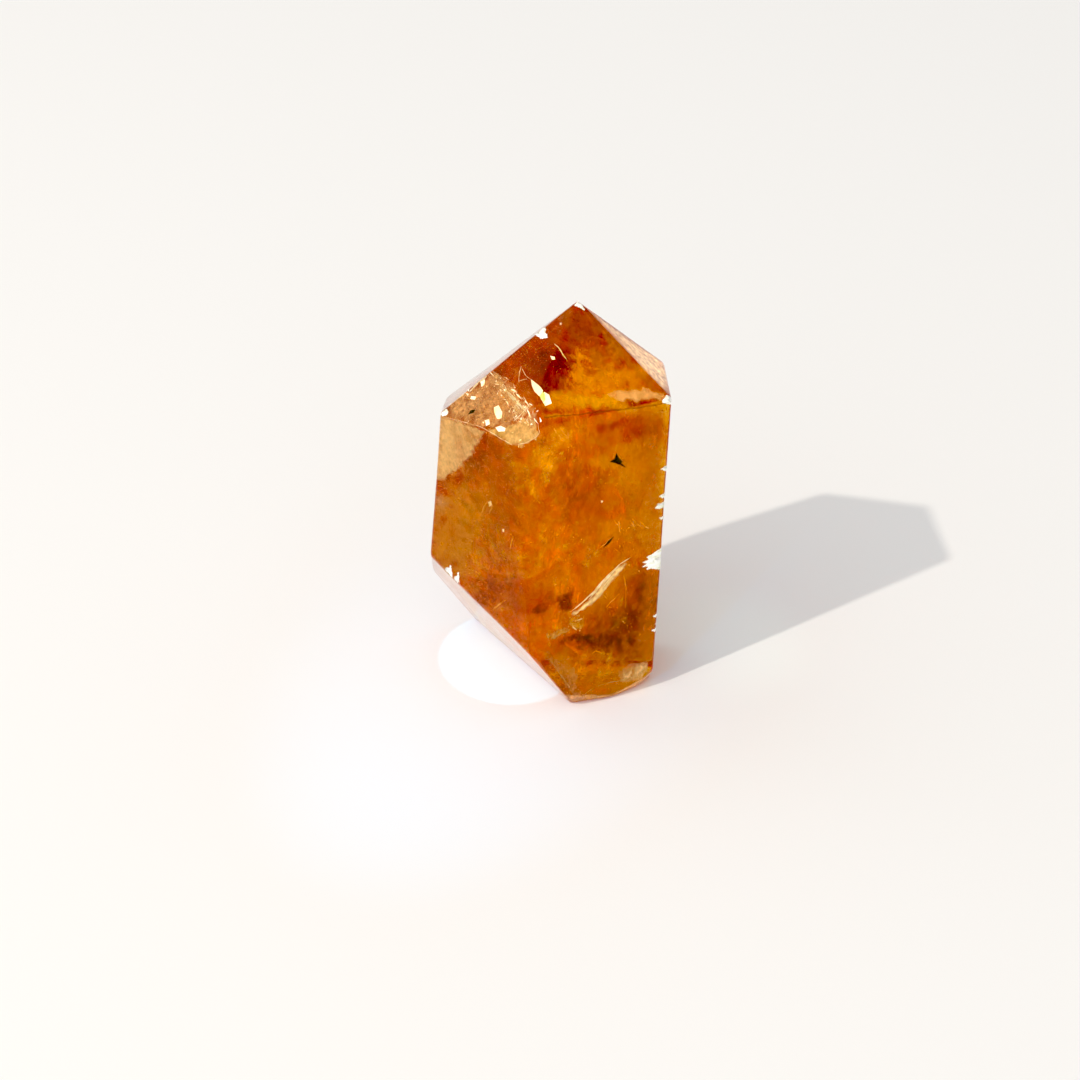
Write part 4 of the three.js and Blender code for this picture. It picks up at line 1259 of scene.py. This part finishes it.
def flakes_object(name, centres, size, seed, flat=0.25):
    """Closed four-sided flakes: a ragged triangle with a low peak."""
    r = rng(seed)
    n = len(centres)
    nrm = r.normal(size=(n, 3))
    nrm /= np.linalg.norm(nrm, axis=1)[:, None]
    ref = np.where(np.abs(nrm[:, 2:3]) < 0.9, np.array([[0, 0, 1.0]]), np.array([[1.0, 0, 0]]))
    u = np.cross(nrm, ref)
    u /= np.linalg.norm(u, axis=1)[:, None]
    v = np.cross(nrm, u)
    spin = r.uniform(0, 2 * math.pi, n)
    verts = np.zeros((n, 4, 3))
    for k in range(3):
        a = spin + k * 2 * math.pi / 3 + r.uniform(-0.5, 0.5, n)
        rad = size * r.uniform(0.5, 1.0, n)
        verts[:, k] = centres + u * (np.cos(a) * rad)[:, None] + v * (np.sin(a) * rad)[:, None]
    verts[:, 3] = centres + nrm * (size * flat)[:, None]
    tri = np.array([[0, 2, 1], [0, 1, 3], [1, 2, 3], [2, 0, 3]])
    faces = (np.arange(n)[:, None, None] * 4 + tri[None]).reshape(-1, 3)
    me = bpy.data.meshes.new(name)
    me.vertices.add(n * 4)
    me.vertices.foreach_set("co", (verts.reshape(-1) * MM).astype(np.float32))
    me.loops.add(len(faces) * 3)
    me.loops.foreach_set("vertex_index", faces.ravel().astype(np.int32))
    me.polygons.add(len(faces))
    me.polygons.foreach_set("loop_start", np.arange(0, len(faces) * 3, 3, dtype=np.int32))
    me.update(calc_edges=True)
    add_attribute(me, "bright", np.repeat(r.uniform(0, 1, n) ** 2, 4))
    ob = bpy.data.objects.new(name, me)
    bpy.context.scene.collection.objects.link(ob)
    return ob


def sparkle_density(p):
    left = blobs(p, [((-12.0, -8.0, 40.0), (7.0, 8.0, 16.0), 0.55), ((-2.0, -11.0, 15.0), (5.0, 5.0, 6.0), 0.35), ((-8.0, -8.0, 60.0), (6.0, 6.0, 5.0), 0.5)])
    return np.clip(clumps(p) * 0.7 + left * np.clip(0.5 + wave_noise(p, 4.0, 88, 2), 0, 1), 0, 1)


SEALED = ("veil_near", "veil_outer", "veil_inner", "crack_glints", "pale_veils", "golden_zones", "colour_zones", "long_cracks", "dark_specks", "gold_wisps", "sparkles")
sc = scatter(12000, sparkle_density, 89, (0.5, 4.5))
# the sparkles glow by emission: painted glints
piece(flakes_object("sparkles", sc, rng(90).gamma(2.0, 0.045, len(sc)) + 0.05, 91), wisp_material("sparkles", (0.72, 0.34, 0.03), (0.98, 0.66, 0.16), 0.5))

# ------------------------------------------------------------------ floor and light
fm, nt, out = new_material("floor")
d = nt.nodes.new("ShaderNodeBsdfDiffuse")
d.inputs["Color"].default_value = (0.93, 0.925, 0.92, 1)
nt.links.new(d.outputs["BSDF"], out.inputs["Surface"])
floor = mesh_object("floor", [(-3000, -3000, -0.03), (3000, -3000, -0.03), (3000, 3000, -0.03), (-3000, 3000, -0.03)], [(0, 1, 2, 3)])
floor.data.materials.append(fm)

sun_dir = Vector((0.874, 0.649, -1.0)).normalized()

world = bpy.data.worlds.new("world")
world.use_nodes = True
wt = world.node_tree
bg = wt.nodes["Background"]
tc = wt.nodes.new("ShaderNodeTexCoord")
dot = wt.nodes.new("ShaderNodeVectorMath")
dot.operation = "DOT_PRODUCT"
dot.inputs[1].default_value = -sun_dir
wt.links.new(tc.outputs["Generated"], dot.inputs[0])
lobe = wt.nodes.new("ShaderNodeMapRange")
lobe.interpolation_type = "SMOOTHSTEP"
for key_, val in zip(("From Min", "From Max", "To Min", "To Max"), (0.15, 0.98, 0.40, 1.20)):
    lobe.inputs[key_].default_value = val
wt.links.new(dot.outputs["Value"], lobe.inputs["Value"])
wt.links.new(lobe.outputs["Result"], bg.inputs["Strength"])
bg.inputs["Color"].default_value = (1.0, 1.0, 1.0, 1)
bpy.context.scene.world = world

key_data = bpy.data.lights.new("key", "AREA")
key_data.shape = "DISK"
key_data.size = 0.032
key_data.energy = 10.8
key_data.color = (1.0, 0.925, 0.80)
key = bpy.data.objects.new("key", key_data)
key.location = -sun_dir * 1.6 + Vector((0, 0, 0.03))
key.rotation_euler = sun_dir.to_track_quat("-Z", "Y").to_euler()
bpy.context.scene.collection.objects.link(key)

# light that the stone throws on the floor: back from the faces that the sun meets, and a little through it
def thrown(name, target, source, energy, colour, cone, stretch=1.0, turn=0.0, blend=0.25, soft=2.0):
    spot = bpy.data.lights.new(name, "SPOT")
    spot.energy = energy
    spot.color = colour
    spot.spot_size = math.radians(cone)
    spot.spot_blend = blend
    spot.shadow_soft_size = soft * MM
    ob = bpy.data.objects.new(name, spot)
    target, source = Vector(target) * MM, Vector(source) * MM
    ob.location = source
    ob.rotation_euler = ((target - source).to_track_quat("-Z", "Y").to_matrix() @ Matrix.Rotation(math.radians(turn), 3, "Z")).to_euler()
    ob.scale = (stretch, 1.0, 1.0)
    bpy.context.scene.collection.objects.link(ob)


thrown("thrown_back", (-7.0, 3.0, 0.0), (-200.0, -60.0, 150.0), 1.1, (0.10, 0.60, 0.86), 3.4, stretch=1.8, blend=0.02, soft=0.3)
thrown("thrown_soft", (-9.0, -4.0, 0.0), (-100.0, -200.0, 150.0), 0.45, (0.0, 0.45, 1.0), 20.0, blend=1.0)
thrown("thrown_through", (30.0, 8.0, 0.0), (80.0, -60.0, 240.0), 0.14, (0.45, 1.0, 0.75), 9.0, blend=1.0)

# what is sealed in the stone throws no shadow of its own: the stone's surface already stops the light's direct rays
for ob in bpy.context.scene.objects:
    if ob.type == "MESH" and ob.name in SEALED:
        ob.visible_shadow = False

scene = bpy.context.scene
scene.view_settings.view_transform = "Standard"
scene.view_settings.use_curve_mapping = True
cm = scene.view_settings.curve_mapping
cm.black_level = (0.045, 0.045, 0.060)
cm.update()
scene.cycles.max_bounces = 10
scene.cycles.diffuse_bounces = 4
scene.cycles.transmission_bounces = 10
scene.cycles.glossy_bounces = 6
scene.cycles.transparent_max_bounces = 40
scene.cycles.caustics_reflective = True
scene.cycles.caustics_refractive = True
scene.cycles.blur_glossy = 0.2
scene.cycles.sample_clamp_indirect = 4.0
